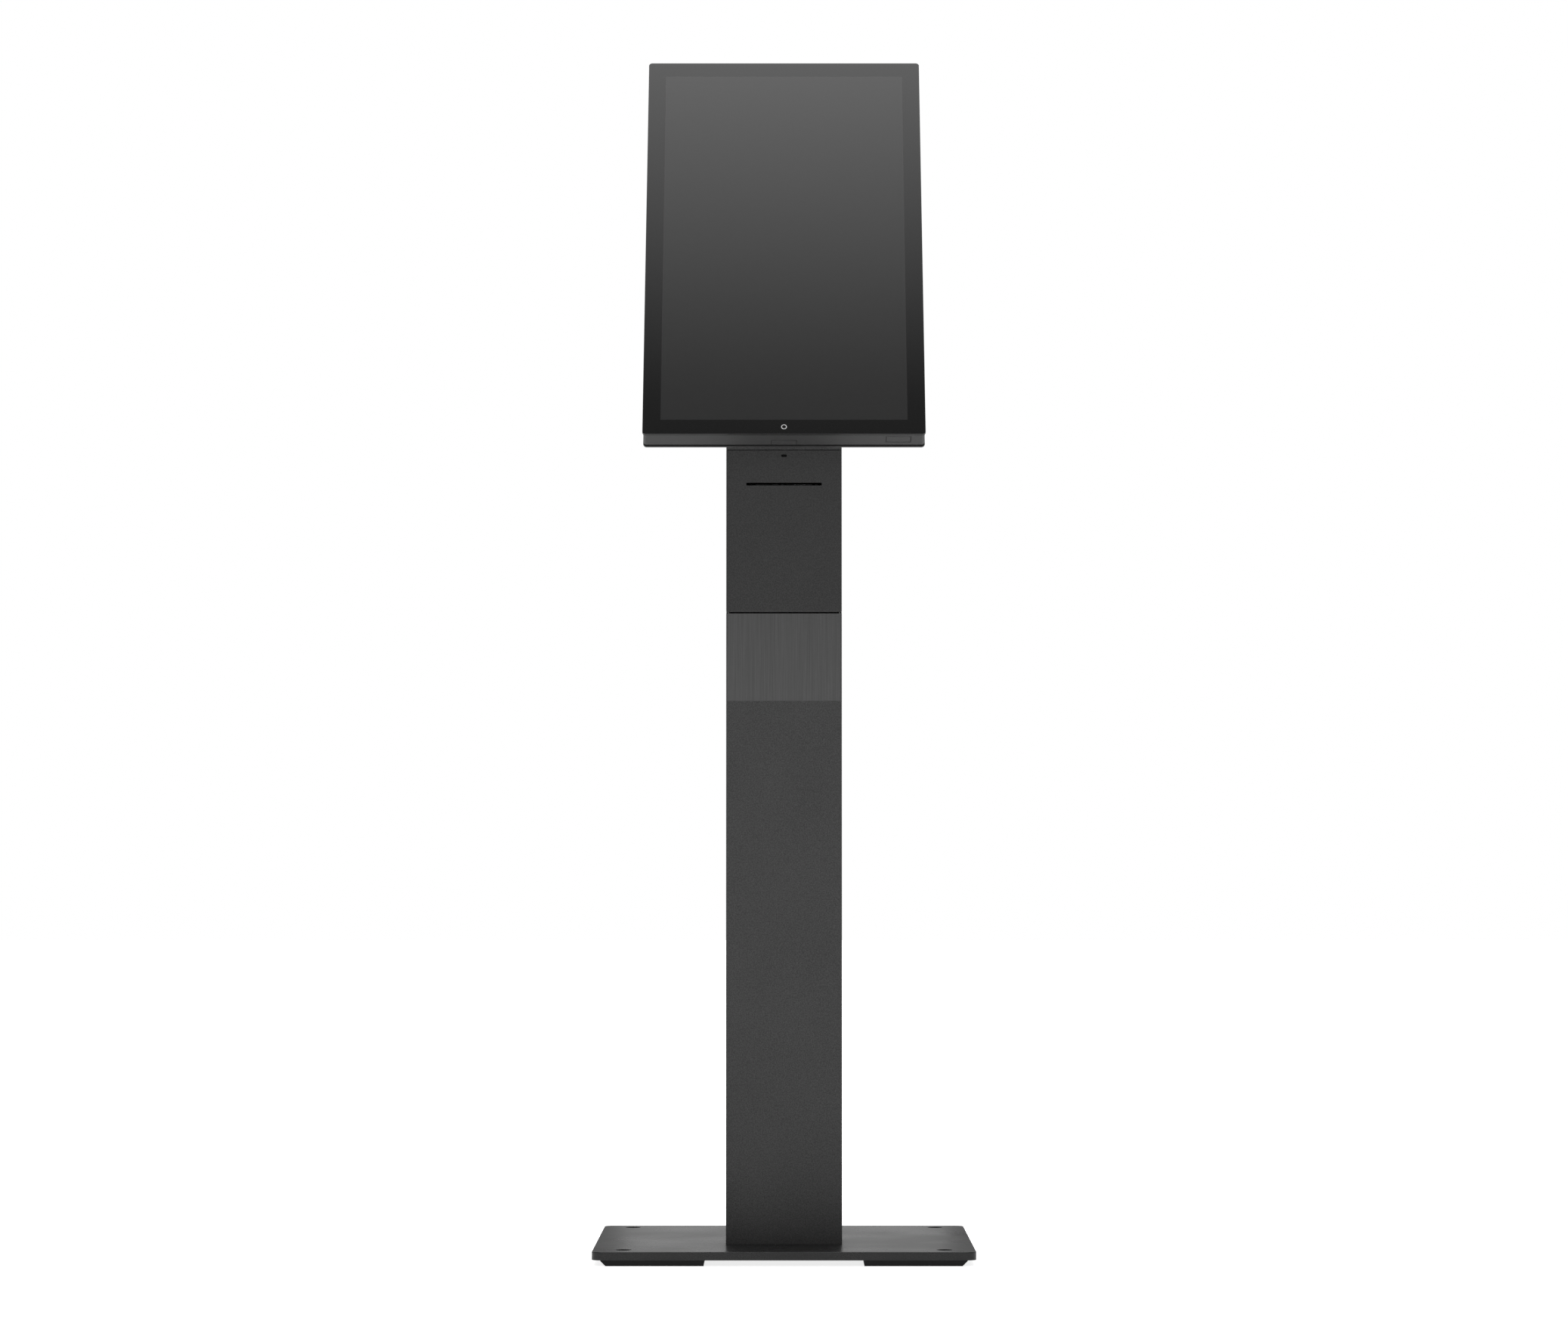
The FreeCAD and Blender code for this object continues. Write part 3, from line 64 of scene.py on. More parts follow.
def studio_world():
    """Brightness by direction: white behind, dimmer in front, and a bright cap overhead that fades in."""
    front_level, back_level, horizon_level = 0.30, 0.95, 0.0
    rise_low, rise_high = 0.06, 0.45
    depth_front, depth_back = -0.4, 0.6
    cap_level, cap_fade = 4.0, 1.48
    cap_start = math.sin(math.radians(64.4))
    cap_full = math.sin(math.radians(70.3))
    world = bpy.data.worlds.new("white_surround")
    world.use_nodes = True
    tree = world.node_tree
    tree.nodes.clear()
    where = add_node(tree, "ShaderNodeTexCoord")
    axes = add_node(tree, "ShaderNodeSeparateXYZ", links={0: where.outputs["Generated"]})
    rise = add_node(tree, "ShaderNodeMapRange",
                    {"From Min": rise_low, "From Max": rise_high,
                     "To Min": horizon_level, "To Max": back_level},
                    {"Value": axes.outputs["Z"]})
    depth = add_node(tree, "ShaderNodeMapRange",
                     {"From Min": depth_front, "From Max": depth_back, "To Min": front_level},
                     {"Value": axes.outputs["Y"], "To Max": rise.outputs[0]})
    cap = add_node(tree, "ShaderNodeMapRange", {"From Min": cap_start, "From Max": cap_full},
                   {"Value": axes.outputs["Z"]})
    soft_cap = add_node(tree, "ShaderNodeMath", {"operation": "POWER", 1: cap_fade}, {0: cap.outputs[0]})
    bright_cap = add_node(tree, "ShaderNodeMath", {"operation": "MULTIPLY", 1: cap_level},
                          {0: soft_cap.outputs[0]})
    total = add_node(tree, "ShaderNodeMath", {"operation": "MAXIMUM"},
                     {0: depth.outputs[0], 1: bright_cap.outputs[0]})
    light = add_node(tree, "ShaderNodeBackground", links={"Strength": total.outputs[0]})
    backdrop = add_node(tree, "ShaderNodeBackground", {"Strength": 1.0})
    backdrop.inputs["Color"].default_value = (1, 1, 1, 1)
    path = add_node(tree, "ShaderNodeLightPath")
    mix = add_node(tree, "ShaderNodeMixShader", links={0: path.outputs["Is Camera Ray"],
                                                       1: light.outputs[0], 2: backdrop.outputs[0]})
    add_node(tree, "ShaderNodeOutputWorld", links={"Surface": mix.outputs[0]})
    return world


def studio_floor():
    """A wide level sheet of white paper, bright enough to meet the white surround."""
    reach = 30.0
    glow_on_kiosk, glow_seen = 0.42, 0.8
    mesh = bpy.data.meshes.new("floor")
    corners = [(-reach, -reach, 0), (reach, -reach, 0), (reach, reach, 0), (-reach, reach, 0)]
    mesh.from_pydata(corners, [], [(0, 1, 2, 3)])
    floor = bpy.data.objects.new("floor", mesh)
    bpy.context.scene.collection.objects.link(floor)
    paper = bpy.data.materials.new("white_seamless_paper")
    paper.use_nodes = True
    shader = paper.node_tree.nodes["Principled BSDF"]
    shader.inputs["Base Color"].default_value = linear("#f2f2f2")
    shader.inputs["Roughness"].default_value = 0.9
    shader.inputs["Specular IOR Level"].default_value = 0.1
    shader.inputs["Emission Color"].default_value = (1, 1, 1, 1)
    path = add_node(paper.node_tree, "ShaderNodeLightPath")
    glow = add_node(paper.node_tree, "ShaderNodeMapRange", {"To Min": glow_on_kiosk, "To Max": glow_seen},
                    {"Value": path.outputs["Is Camera Ray"]})
    paper.node_tree.links.new(glow.outputs[0], shader.inputs["Emission Strength"])
    mesh.materials.append(paper)


def soft_box(name, width, height, watts, place, turn):
    """A rectangular soft box that the camera doesn't see."""
    lamp = bpy.data.lights.new(name, "AREA")
    lamp.shape = "RECTANGLE"
    lamp.size = width
    lamp.size_y = height
    lamp.energy = watts
    box = bpy.data.objects.new(name, lamp)
    box.location = place
    box.rotation_euler = [math.radians(degrees) for degrees in turn]
    box.visible_camera = False
    bpy.context.scene.collection.objects.link(box)


def studio_camera():
    """A long lens at knee height, six metres in front, tipped up a little."""
    focal_in_widths = 3.12771
    distance, height, tipped_up = 6.033, 0.458, 2.469
    camera = bpy.data.objects.new("camera", bpy.data.cameras.new("camera"))
    bpy.context.scene.collection.objects.link(camera)
    camera.data.sensor_width = 36.0
    camera.data.lens = camera.data.sensor_width * focal_in_widths
    camera.location = (0.0, -distance, height)
    camera.rotation_euler = (math.radians(90.0 + tipped_up), 0.0, 0.0)
    camera.data.clip_end = 100.0
    bpy.context.scene.camera = camera


bpy.context.scene.world = studio_world()
bpy.context.scene.view_settings.view_transform = "Standard"
studio_floor()
soft_box("front_soft_box", width=0.9, height=0.5, watts=1.9, place=(0.0, -1.7, 0.62), turn=(90, 0, 0))
soft_box("low_rear_soft_box", width=0.5, height=0.3, watts=0.2, place=(0.0, 1.5, 0.2), turn=(-90, 0, 0))
studio_camera()


# Base plate -----------------------------------------------------------------------------------
# A 10 mm mild steel plate, laser cut with an eased upper edge, and powder coated.
# Coarse powder leaves a fine grain that sparkles a little where light grazes it.

def new_material(name, hex_text, roughness, metallic=0.0):
    """A material with one shader, its socket values set, and the node tree to work on."""
    material = bpy.data.materials.new(name)
    material.use_nodes = True
    shader = material.node_tree.nodes["Principled BSDF"]
    shader.inputs["Base Color"].default_value = linear(hex_text)
    shader.inputs["Roughness"].default_value = roughness
    shader.inputs["Metallic"].default_value = metallic
    return material, material.node_tree, shader


def coat(node_names, material):
    """Gives CAD nodes a material."""
    for name in node_names:
        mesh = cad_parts[name].data
        mesh.materials.clear()
        mesh.materials.append(material)


def powder_coat(name, dark, light, grain_mm, bump, roughness, specular=0.5):
    """Powder coat: two close greys mixed by a fine grain, a slow cloud of gloss, and a pebbled bump."""
    clouds_per_metre = 9.0
    pebble_depth = 0.0002
    material, tree, shader = new_material(name, dark, roughness)
    shader.inputs["IOR"].default_value = 1.5
    shader.inputs["Specular IOR Level"].default_value = specular
    where = add_node(tree, "ShaderNodeTexCoord")
    grain = add_node(tree, "ShaderNodeTexNoise",
                     {"Scale": 1000.0 / grain_mm, "Detail": 3.0, "Roughness": 0.7},
                     {"Vector": where.outputs["Object"]})
    cloud = add_node(tree, "ShaderNodeTexNoise", {"Scale": clouds_per_metre, "Detail": 1.0},
                     {"Vector": where.outputs["Object"]})
    spread = add_node(tree, "ShaderNodeMapRange", {"From Min": 0.36, "From Max": 0.64},
                      {"Value": grain.outputs["Fac"]})
    tint = add_node(tree, "ShaderNodeMix", {"data_type": "RGBA"}, {0: spread.outputs[0]})
    tint.inputs[6].default_value = linear(dark)
    tint.inputs[7].default_value = linear(light)
    tree.links.new(tint.outputs[2], shader.inputs["Base Color"])
    gloss = add_node(tree, "ShaderNodeMapRange",
                     {"From Min": 0.3, "From Max": 0.7,
                      "To Min": roughness - 0.03, "To Max": roughness + 0.05},
                     {"Value": cloud.outputs["Fac"]})
    tree.links.new(gloss.outputs[0], shader.inputs["Roughness"])
    pebble = add_node(tree, "ShaderNodeBump", {"Strength": bump, "Distance": pebble_depth},
                      {"Height": grain.outputs["Fac"]})
    tree.links.new(pebble.outputs[0], shader.inputs["Normal"])
    return material


base_coat = powder_coat("powder_coated_steel_plate", "#101010", "#202020", grain_mm=1.4, bump=0.3,
                        roughness=0.27, specular=0.44)
coat(["base_plate"], base_coat)


# Feet and grommets ----------------------------------------------------------------------------
# Moulded rubber pads screwed under the plate, the rubber ring round the cable hole, and the
# other black soft parts. Rubber is nearly black and dull, with a faint mottle from the mould.

def moulded(name, hex_text, roughness, mottle_mm, bump, ior=1.5):
    """A moulded plastic or rubber: one colour with a slight mottle, and the mould's fine texture."""
    texture_depth = 0.00006
    material, tree, shader = new_material(name, hex_text, roughness)
    shader.inputs["IOR"].default_value = ior
    where = add_node(tree, "ShaderNodeTexCoord")
    mottle = add_node(tree, "ShaderNodeTexNoise", {"Scale": 1000.0 / mottle_mm, "Detail": 3.0},
                      {"Vector": where.outputs["Object"]})
    base = linear(hex_text)
    tint = add_node(tree, "ShaderNodeMix", {"data_type": "RGBA"}, {0: mottle.outputs["Fac"]})
    tint.inputs[6].default_value = [c * 0.82 for c in base[:3]] + [1.0]
    tint.inputs[7].default_value = [c * 1.18 for c in base[:3]] + [1.0]
    tree.links.new(tint.outputs[2], shader.inputs["Base Color"])
    grain = add_node(tree, "ShaderNodeBump", {"Strength": bump, "Distance": texture_depth},
                     {"Height": mottle.outputs["Fac"]})
    tree.links.new(grain.outputs[0], shader.inputs["Normal"])
    return material


rubber = moulded("moulded_black_rubber", "#0a0a0a", roughness=0.8, mottle_mm=2.0, bump=0.4, ior=1.52)
coat(["feet", "cable_grommet", "seam_gasket", "glass_tape", "platen_roller"], rubber)


# Column ---------------------------------------------------------------------------------------
# A folded 1.5 mm steel upright, open at the front, with flush folded covers between its sides
# and a sloped cap. All of it is powder coated in one dark grey with a visible fine grain.

column_coat = powder_coat("powder_coated_column_steel", "#232323", "#424242", grain_mm=1.4, bump=0.4,
                          roughness=0.52)
coat(["column_spine", "lower_cover", "top_cover", "service_door"], column_coat)


# Louvre hoods ---------------------------------------------------------------------------------
# The back door's nine slots are pressed out of its sheet, so each has a curved hood that opens
# downwards, in the same powder coat.

column_back = 23.0


def joined_rings(rings, closed):
    """Faces over a grid of rings: each point joins its neighbours round its ring and on the next ring."""
    count, around = rings.shape[:2]
    first = np.arange(count if closed else count - 1)[:, None] * around
    second = (first + around) % (count * around)
    here = np.arange(around)[None, :]
    there = (here + 1) % around
    return np.stack([first + here, first + there, second + there, second + here], axis=-1).reshape(-1, 4)


def piece(name, points, faces, material, body):
    """A new piece in the frame, with its finish and the body that carries it."""
    mesh = bpy.data.meshes.new(name)
    corners = np.asarray(points).reshape(-1, 3).tolist()
    mesh.from_pydata(corners, [], [list(map(int, face)) for face in faces])
    mesh.materials.append(material)
    made = bpy.data.objects.new(name, mesh)
    bpy.context.scene.collection.objects.link(made)
    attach(made, body)
    return made


def louvre_hoods():
    """Each hood is a quarter ellipse from the slot's upper edge out to its lip, fading to the sheet at both
    ends as the fourth root of one minus the eighth power of the distance along it. An inner skin closes
    it."""
    first, pitch, count = 170.0, 9.0, 9
    half_width, top, reach, skin = 33.0, 5.2, 3.4, 0.7
    below_slot, into_sheet = 0.2, 0.1
    along = np.linspace(-1, 1, 41)
    turn = np.linspace(0, np.pi / 2, 10)
    fade = np.maximum(0.0, 1 - along ** 8) ** 0.25
    points, faces = [], []
    for i in range(count):
        floor = first + i * pitch
        shells = []
        for inset in (0.0, skin):
            out = (reach - inset) * fade[:, None] * np.sin(turn)[None, :]
            up = -below_slot + (top - inset) * np.cos(turn)[None, :] * np.ones_like(fade)[:, None]
            x = np.broadcast_to(half_width * along[:, None], out.shape)
            shells.append(np.stack([x, column_back - into_sheet + out, floor + up], axis=-1) / 1000)
        loops = np.concatenate([shells[0], shells[1][:, ::-1]], axis=1)
        around = loops.shape[1]
        base = len(points) * loops.shape[0] * around
        last = base + (loops.shape[0] - 1) * around
        faces += (joined_rings(loops, False) + base).tolist()
        faces += [[base + k for k in range(around)][::-1], [last + k for k in range(around)]]
        points.append(loops.reshape(-1, 3))
    piece("louvre_hoods", np.concatenate(points), faces, column_coat, "rear_door")


louvre_hoods()


# Switch marks ---------------------------------------------------------------------------------
# The mains rocker is moulded black plastic, pad printed in white with a bar on one half and a
# ring on the other.

def rocker_marks():
    """Each mark lies on one sloping half: y and z are its place and its slope, turned together by the
    rocker's tilt about x. The bar is a circle drawn out upwards, and the ring is two circles joined."""
    pivot_y, pivot_z, middle_x = column_back - 0.6, 82.0, 30.0
    turn = math.radians(9.0)
    slope_out, slope_up = 1.4, 7.2
    face_out, face_up = 2.9, 3.6
    print_rise, print_sunk = 0.03, 0.01
    bar = (1, [(0.30, 0.0), (0.30, 1.0), (0.01, 1.0)], 0.9)
    ring = (-1, [(1.3, 0.0), (1.3, 1.0), (0.95, 1.0), (0.95, 0.0)], 0.0)
    angle = np.linspace(0, 2 * np.pi, 32, endpoint=False)
    points, faces = [], []
    for half, section, stretch in (bar, ring):
        slope = np.array([slope_out * half, slope_up]) / math.hypot(slope_out, slope_up)
        normal = np.array([slope[1], -slope[0]])
        rings = []
        for radius, lift in section:
            across = radius * np.cos(angle)
            up = radius * np.sin(angle) + stretch * np.sign(np.sin(angle))
            proud = (print_rise * lift - print_sunk) * normal
            flat = np.array([face_out, face_up * half]) + up[:, None] * slope + proud
            y = pivot_y + flat[:, 0] * math.cos(turn) - flat[:, 1] * math.sin(turn)
            z = pivot_z + flat[:, 0] * math.sin(turn) + flat[:, 1] * math.cos(turn)
            rings.append(np.column_stack([middle_x + across, y, z]))
        rings = np.stack(rings) / 1000
        base = sum(len(made) for made in points)
        faces += (joined_rings(rings, half < 0)[:, ::-1] + base).tolist()
        points.append(rings.reshape(-1, 3))
    ink = moulded("white_pad_print", "#dcdcdc", roughness=0.5, mottle_mm=0.4, bump=0.1)
    piece("rocker_marks", np.concatenate(points), faces, ink, "rocker")


rocker_marks()


# Printer door ---------------------------------------------------------------------------------
# A tray folded from the same sheet, open at the bottom and pivoted at its lower edge, with the
# receipt slot cut through it. Its coat is a darker copy of the column's powder coat: partly the
# door's own paint and partly painted shade from the display head that overhangs it.

# Darker greys than the column coat, partly painted shade from the overhanging display head.
door_coat_and_painted_shade = powder_coat("door_powder_coat_with_painted_shade", "#1b1b1b", "#343434", grain_mm=1.4, bump=0.4,
                        roughness=0.55)
coat(["printer_door"], door_coat_and_painted_shade)


# Brushed panel --------------------------------------------------------------------------------
# Stainless steel brushed up and down and lacquered dark. The brushing leaves fine upright
# lines, so its shine spreads sideways.

def brushed(name, dark, light, roughness, line_mm, length_mm, bump):
    """Brushed metal: noise drawn out along Z gives streaks of tint, gloss and relief."""
    relief_depth = 0.00004
    material, tree, shader = new_material(name, dark, roughness, 1.0)
    where = add_node(tree, "ShaderNodeTexCoord")
    stretch = add_node(tree, "ShaderNodeMapping",
                       {"Scale": (1000 / line_mm, 1000 / line_mm, 1000 / length_mm)},
                       {"Vector": where.outputs["Object"]})
    lines = add_node(tree, "ShaderNodeTexNoise", {"Scale": 1.0, "Detail": 4.0, "Roughness": 0.7},
                     {"Vector": stretch.outputs[0]})
    spread = add_node(tree, "ShaderNodeMapRange", {"From Min": 0.3, "From Max": 0.7},
                      {"Value": lines.outputs["Fac"]})
    tint = add_node(tree, "ShaderNodeMix", {"data_type": "RGBA"}, {0: spread.outputs[0]})
    tint.inputs[6].default_value = linear(dark)
    tint.inputs[7].default_value = linear(light)
    tree.links.new(tint.outputs[2], shader.inputs["Base Color"])
    gloss = add_node(tree, "ShaderNodeMapRange", {"To Min": roughness - 0.08, "To Max": roughness + 0.08},
                     {"Value": lines.outputs["Fac"]})
    tree.links.new(gloss.outputs[0], shader.inputs["Roughness"])
    relief = add_node(tree, "ShaderNodeBump", {"Strength": bump, "Distance": relief_depth},
                      {"Height": lines.outputs["Fac"]})
    tree.links.new(relief.outputs[0], shader.inputs["Normal"])
    return material


brushed_steel = brushed("brushed_dark_stainless_steel", "#4c4c4c", "#5a5a5a", roughness=0.42, line_mm=0.9,
                        length_mm=90.0, bump=0.4)
coat(["brushed_panel"], brushed_steel)


# Steel fixings and brackets -------------------------------------------------------------------
# Zinc-plated mild steel: bolts, studs, rails, hinge pins and the printer's chassis. Plating
# leaves a soft, uneven shine. The tilt bracket and the cutter's frame are coated black.

def plated(name, hex_text, roughness, cloud_mm):
    """Plated metal: a slow cloud through its colour and roughness."""
    material, tree, shader = new_material(name, hex_text, roughness, 1.0)
    where = add_node(tree, "ShaderNodeTexCoord")
    cloud = add_node(tree, "ShaderNodeTexNoise",
                     {"Scale": 1000.0 / cloud_mm, "Detail": 5.0, "Roughness": 0.65},
                     {"Vector": where.outputs["Object"]})
    base = linear(hex_text)
    tint = add_node(tree, "ShaderNodeMix", {"data_type": "RGBA"}, {0: cloud.outputs["Fac"]})
    tint.inputs[6].default_value = [c * 0.85 for c in base[:3]] + [1.0]
    tint.inputs[7].default_value = [min(1.0, c * 1.1) for c in base[:3]] + [1.0]
    tree.links.new(tint.outputs[2], shader.inputs["Base Color"])
    gloss = add_node(tree, "ShaderNodeMapRange",
                     {"From Min": 0.3, "From Max": 0.7,
                      "To Min": roughness - 0.06, "To Max": roughness + 0.08},
                     {"Value": cloud.outputs["Fac"]})
    tree.links.new(gloss.outputs[0], shader.inputs["Roughness"])
    return material


zinc = plated("zinc_plated_steel", "#a9aaa6", roughness=0.38, cloud_mm=14.0)
coat(["column_flange", "column_bolts", "cover_rails", "cover_studs", "foot_screws", "service_hinge_pins",
      "printer_door_pins", "door_keeper", "tilt_pin", "friction_washers", "mid_frame",
      "printer_frame", "platen_drive", "motor_pinion", "stepper_motor", "cutter_blade",
      "power_supply", "yoke_screws", "cover_fixings", "vesa_fixings"], zinc)
black_steel = powder_coat("black_powder_coated_bracket", "#151515", "#222222", grain_mm=1.2, bump=0.4,
                          roughness=0.5)
coat(["vesa_plate", "tilt_yoke", "cutter_frame"], black_steel)
coat(["lock_body", "lock_plug"], plated("nickel_plated_lock", "#c9c7c0", roughness=0.16, cloud_mm=9.0))
coat(["heat_sink", "print_head"], plated("extruded_aluminium", "#c4c6c9", roughness=0.32, cloud_mm=6.0))


# Screw crowns ---------------------------------------------------------------------------------
# Button-head screws in zinc-plated steel: four through the back of the column, four in the
# mounting plate and six round the rear cover. Each head is domed, with a hexagon socket.

head_lean = math.radians(29.87)


def on_head(x, along, behind):
    """Points given in millimetres across, up along and behind the glass, as the leaning head carries them."""
    glass_front, glass_floor = -180.0, 989.0
    y = glass_front + along * math.sin(head_lean) + behind * math.cos(head_lean)
    z = glass_floor + along * math.cos(head_lean) - behind * math.sin(head_lean)
    return np.stack(np.broadcast_arrays(x, y, z), axis=-1) / 1000.0


def crown(centre, axis, head, rise, across):
    """A dome round a hexagon hole: the outer rings fall as a quarter ellipse, the inner two are the hexagon,
    whose radius at angle a is half the width across flats over the cosine of a's distance to the nearest
    flat."""
    sides, sunk, land = 48, 0.2, 0.5
    axis = np.asarray(axis, dtype=float)
    side = np.cross(axis, (1.0, 0.0, 0.0))
    side /= np.linalg.norm(side)
    other = np.cross(axis, side)
    angle = np.linspace(0, 2 * np.pi, sides, endpoint=False)
    to_flat = (angle + np.pi / 6) % (np.pi / 3) - np.pi / 6
    hexagon = across / 2 / np.cos(to_flat)
    rim = across / 2 + land
    steps = np.radians([0, 20, 40, 60, 78, 90])
    dome = [np.full(sides, rim + (head - rim) * math.cos(a)) for a in steps]
    radii = [np.full(sides, head)] + dome + [hexagon, hexagon]
    heights = [-sunk] + [rise * math.sin(a) for a in steps] + [rise, -sunk]
    around = np.cos(angle)[:, None] * side + np.sin(angle)[:, None] * other
    return np.stack([centre + r[:, None] / 1000 * around + h / 1000 * axis for r, h in zip(radii, heights)])


def screw_crowns(name, centres, axis, head, rise, across, body):
    """One crown at each centre, all in one piece."""
    made = [crown(centre, axis, head, rise, across) for centre in centres]
    size = made[0].shape[0] * made[0].shape[1]
    faces = np.concatenate([joined_rings(rings, True) + i * size for i, rings in enumerate(made)])
    points = np.concatenate([rings.reshape(-1, 3) for rings in made])
    piece(name, points, faces, zinc, body)


head_back = (0.0, math.cos(head_lean), -math.sin(head_lean))
glass_middle = 284.82
yoke_seat, mount_seat, rim_seat = column_back + 2.6, 53.6, 32.1
yoke_heads = [np.array([x, yoke_seat, z]) / 1000 for x in (-32.0, 32.0) for z in (1076.24, 1121.24)]
mount_heads = [on_head(x, glass_middle + up, mount_seat) for x in (-50.0, 50.0) for up in (-50.0, 50.0)]
rim_heads = [on_head(x, up, rim_seat) for x in (-154.75, 154.75) for up in (40.0, glass_middle, 529.64)]
screw_crowns("yoke_screw_crowns", yoke_heads, (0, 1, 0), head=4.88, rise=1.1, across=3.0, body="column")
screw_crowns("mount_screw_crowns", mount_heads, head_back, head=3.88, rise=0.9, across=2.5, body="display")
screw_crowns("rim_screw_crowns", rim_heads, head_back, head=2.88, rise=0.7, across=2.0, body="display")


# Display head ---------------------------------------------------------------------------------
# Moulded PC/ABS housing and rear cover, in dark grey with a fine spark-eroded texture. The
# keys, fan, sockets and loudspeakers are black. The slot's liner is a near-black flock, painted
# shade that stands in for the dark inside of the receipt slot.

head_plastic = moulded("textured_pc_abs", "#2c2c2c", roughness=0.48, mottle_mm=0.9, bump=0.35, ior=1.54)
coat(["head_housing", "centre_cover", "port_flap", "rear_cover"], head_plastic)

black_plastic = moulded("moulded_black_plastic", "#141414", roughness=0.45, mottle_mm=1.5, bump=0.3, ior=1.52)
coat(["port_pocket", "roll_spindle", "mains_inlet", "switch_rocker", "fan_frame", "fan_rotor",
      "speakers", "feed_button", "power_button", "door_catch"], black_plastic)

# Painted shade: the near-black liner stands in for the shadow deep inside the receipt slot.
slot_liner_painted_shade = moulded("slot_liner_painted_shade_black", "#030303", roughness=0.95, mottle_mm=0.8, bump=0.6, ior=1.2)
coat(["slot_liner"], slot_liner_painted_shade)


# Cover glass ----------------------------------------------------------------------------------
# 3 mm hardened glass bonded over the whole front. A black border is printed on its back, and
# the dark grey picture area of the switched-off panel shows inside that border.

def switched_off_screen():
    """The glass: smooth, with the printed border and the picture area told apart by position. Behind its
    polished face, the edge all round is ground and dull."""
    screen_wide, screen_high, bezel_low = 0.29646, 0.52704, 0.0207
    thickness, print_blur = 0.003, 0.0002
    polished, ground_edge = 0.06, 0.5
    ground_from, ground_to = 0.0005, 0.0007
    material, tree, shader = new_material("back_printed_hardened_glass", "#0a0a0a", polished)
    shader.inputs["IOR"].default_value = 1.52
    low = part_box("cover_glass")[0]
    front_low = low.z + thickness * math.sin(head_lean)
    glass_floor = front_low * math.cos(head_lean) + low.y * math.sin(head_lean)
    front = low.y * math.cos(head_lean) - front_low * math.sin(head_lean)
    middle = glass_floor + bezel_low + screen_high / 2
    where = add_node(tree, "ShaderNodeTexCoord")
    upright = add_node(tree, "ShaderNodeMapping", {"Rotation": (head_lean, 0.0, 0.0)},
                       {"Vector": where.outputs["Object"]})
    axes = add_node(tree, "ShaderNodeSeparateXYZ", links={0: upright.outputs[0]})
    across = add_node(tree, "ShaderNodeMath", {"operation": "ABSOLUTE"}, {0: axes.outputs["X"]})
    inside_x = add_node(tree, "ShaderNodeMapRange",
                        {"From Min": screen_wide / 2 + print_blur, "From Max": screen_wide / 2 - print_blur},
                        {"Value": across.outputs[0]})
    off = add_node(tree, "ShaderNodeMath", {"operation": "SUBTRACT", 1: middle}, {0: axes.outputs["Z"]})
    off_abs = add_node(tree, "ShaderNodeMath", {"operation": "ABSOLUTE"}, {0: off.outputs[0]})
    inside_z = add_node(tree, "ShaderNodeMapRange",
                        {"From Min": screen_high / 2 + print_blur, "From Max": screen_high / 2 - print_blur},
                        {"Value": off_abs.outputs[0]})
    inside = add_node(tree, "ShaderNodeMath", {"operation": "MULTIPLY"},
                      {0: inside_x.outputs[0], 1: inside_z.outputs[0]})
    tint = add_node(tree, "ShaderNodeMix", {"data_type": "RGBA"}, {0: inside.outputs[0]})
    tint.inputs[6].default_value = linear("#080808")
    tint.inputs[7].default_value = linear("#2d2d2d")
    tree.links.new(tint.outputs[2], shader.inputs["Base Color"])
    ground = add_node(tree, "ShaderNodeMapRange",
                      {"From Min": front + ground_from, "From Max": front + ground_to,
                       "To Min": polished, "To Max": ground_edge}, {"Value": axes.outputs["Y"]})
    tree.links.new(ground.outputs[0], shader.inputs["Roughness"])
    return material


coat(["cover_glass"], switched_off_screen())


# Bezel mark -----------------------------------------------------------------------------------
# A plain ring, screen printed in white at the middle of the lower border. The print is a few
# hundredths of a millimetre proud of the glass.

def bezel_ring():
    """Four circles about one centre, joined as a flat band with a thin edge: x = r cos a, up = r sin a."""
    centre, outer, inner = 10.4, 3.4, 2.5
    proud, sunk = -0.04, 0.02
    angle = np.linspace(0, 2 * np.pi, 64, endpoint=False)
    section = [(outer, sunk), (outer, proud), (inner, proud), (inner, sunk)]
    rings = np.stack([on_head(r * np.cos(angle), centre + r * np.sin(angle), behind)
                      for r, behind in section])
    ink = moulded("white_screen_print", "#e2e2e2", roughness=0.5, mottle_mm=0.4, bump=0.1)
    piece("bezel_ring", rings, joined_rings(rings, True)[:, ::-1], ink, "display")


bezel_ring()


# Rating label ---------------------------------------------------------------------------------
# A silver polyester label stuck on the rear cover above the mounting plate. Its printing is only
# rows of grey dashes.

def printed_label():
    """Matt silver film with rows of dashes, 2.4 mm apart, drawn along the leaning head."""
    dash_length, row_height, gap = 0.0085, 0.0024, 0.0007
    material, tree, shader = new_material("matt_silver_polyester_label", "#8e9092", 0.45)
    where = add_node(tree, "ShaderNodeTexCoord")
    upright = add_node(tree, "ShaderNodeMapping", {"Rotation": (head_lean, 0.0, 0.0)},
                       {"Vector": where.outputs["Object"]})
    axes = add_node(tree, "ShaderNodeSeparateXYZ", links={0: upright.outputs[0]})
    flat = add_node(tree, "ShaderNodeCombineXYZ", links={"X": axes.outputs["X"], "Y": axes.outputs["Z"]})
    dashes = add_node(tree, "ShaderNodeTexBrick",
                      {"Scale": 1.0, "Mortar Size": gap, "Mortar Smooth": 0.1,
                       "Brick Width": dash_length, "Row Height": row_height}, {"Vector": flat.outputs[0]})
    dashes.inputs["Color1"].default_value = linear("#3a3a3a")
    dashes.inputs["Color2"].default_value = linear("#8e9092")
    dashes.inputs["Mortar"].default_value = linear("#9a9c9e")
    tree.links.new(dashes.outputs["Color"], shader.inputs["Base Color"])
    return material


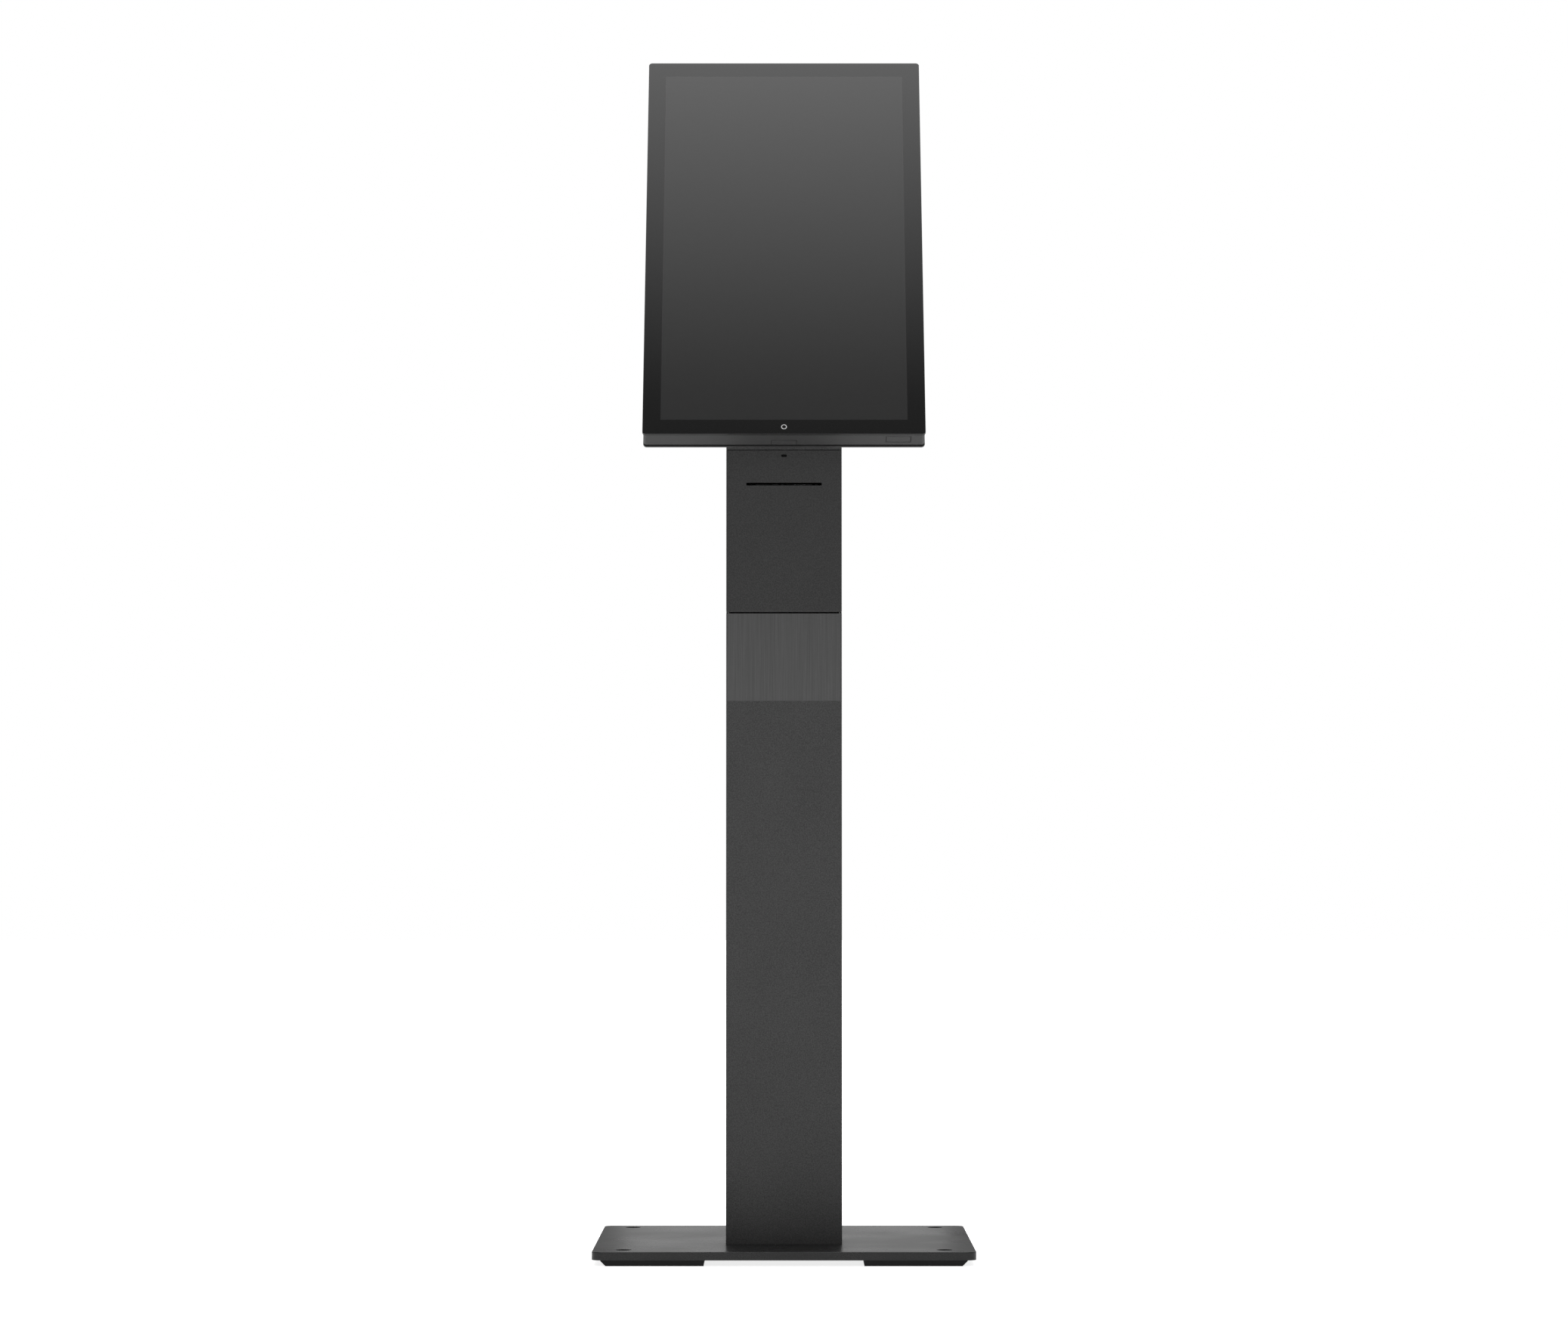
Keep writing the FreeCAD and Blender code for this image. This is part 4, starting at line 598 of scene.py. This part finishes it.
def rating_label():
    """A flat rectangle with rounded corners, 0.12 mm thick: the corner points follow a superellipse."""
    half_wide, half_tall, middle = 32.0, 11.0, 384.0
    cover_back, sunk, thick = 48.0, 0.02, 0.12
    around, squareness = 96, 0.15
    angle = np.linspace(0, 2 * np.pi, around, endpoint=False)
    x = half_wide * np.sign(np.cos(angle)) * np.abs(np.cos(angle)) ** squareness
    up = half_tall * np.sign(np.sin(angle)) * np.abs(np.sin(angle)) ** squareness
    rings = np.stack([on_head(x, middle + up, behind) for behind in (cover_back - sunk, cover_back + thick)])
    faces = joined_rings(rings, False)[:, ::-1].tolist()
    faces += [list(range(around)), list(range(around, 2 * around))[::-1]]
    piece("rating_label", rings, faces, printed_label(), "display")


rating_label()


# Electronics ----------------------------------------------------------------------------------
# Glass-fibre circuit boards under green solder resist, the picture panel's steel tray, the
# smoked window of the status light, and the roll of thermal paper.

solder_resist = moulded("green_solder_resist", "#12502c", roughness=0.35, mottle_mm=3.0, bump=0.5, ior=1.55)
coat(["display_boards", "printer_board"], solder_resist)
coat(["lcd_panel"], plated("pressed_steel_tray", "#8f9192", roughness=0.4, cloud_mm=30.0))
smoked = moulded("smoked_acrylic", "#020202", roughness=0.35, mottle_mm=4.0, bump=0.05, ior=1.2)
coat(["status_lens"], smoked)


def rolled_paper():
    """Thermal paper wound on its core: rings across the end, a near-white smooth outside."""
    material, tree, shader = new_material("rolled_thermal_paper", "#ecebe6", 0.7)
    low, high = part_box("paper_roll")
    centre = (low + high) / 2
    where = add_node(tree, "ShaderNodeTexCoord")
    placed = add_node(tree, "ShaderNodeMapping", {"vector_type": "TEXTURE", "Location": tuple(centre)},
                      {"Vector": where.outputs["Object"]})
    flat = add_node(tree, "ShaderNodeVectorMath", {"operation": "MULTIPLY", 1: (0.0, 1.0, 1.0)},
                    {0: placed.outputs[0]})
    rings = add_node(tree, "ShaderNodeTexWave",
                     {"wave_type": "RINGS", "rings_direction": "SPHERICAL", "Scale": 260.0,
                      "Distortion": 0.4},
                     {"Vector": flat.outputs[0]})
    tint = add_node(tree, "ShaderNodeMix", {"data_type": "RGBA"}, {0: rings.outputs["Fac"]})
    tint.inputs[6].default_value = linear("#d8d6ce")
    tint.inputs[7].default_value = linear("#f0efea")
    tree.links.new(tint.outputs[2], shader.inputs["Base Color"])
    return material


paper = rolled_paper()
coat(["paper_roll"], paper)


# Paper web ------------------------------------------------------------------------------------
# The thermal paper runs from the front of its roll up behind the rubber roller, over the top
# of it and forward to the cutter, held tight between them.

def paper_web():
    """A band across x that follows one line in y and z: a straight run, an arc about the roller, a straight
    run. The second skin lies the paper's thickness away from the first."""
    half_width, thick = 39.75, 0.09
    platen_y, platen_z, radius = -78.0, 928.1, 7.06
    leave_y, leave_z = -74.03, 832.9
    meet_y, meet_z = platen_y + radius, platen_z - 0.23
    over_y, cutter_y = -82.0, -87.3
    arc = np.radians(np.linspace(-1.9, 90.0, 24))
    line_y = np.concatenate([np.linspace(leave_y, meet_y, 12)[:-1], platen_y + radius * np.cos(arc),
                             [over_y, cutter_y]])
    line_z = np.concatenate([np.linspace(leave_z, meet_z, 12)[:-1], platen_z + radius * np.sin(arc),
                             [platen_z + radius] * 2])
    step_y, step_z = np.gradient(line_y), np.gradient(line_z)
    length = np.hypot(step_y, step_z)
    out_y, out_z = step_z / length * thick, -step_y / length * thick
    inner = np.stack([line_y, line_z], axis=-1)
    outer = np.stack([line_y + out_y, line_z + out_z], axis=-1)
    loop = np.concatenate([inner, outer[::-1]])
    ends = (-half_width, half_width)
    rings = np.stack([np.column_stack([np.full(len(loop), x), loop]) for x in ends]) / 1000
    faces = joined_rings(rings, False).tolist()
    around, runs = len(loop), len(line_y)
    for k in range(runs - 1):
        strip = [k, k + 1, around - 2 - k, around - 1 - k]
        faces += [strip[::-1], [around + v for v in strip]]
    piece("paper_web", rings, faces, paper, "column")


paper_web()
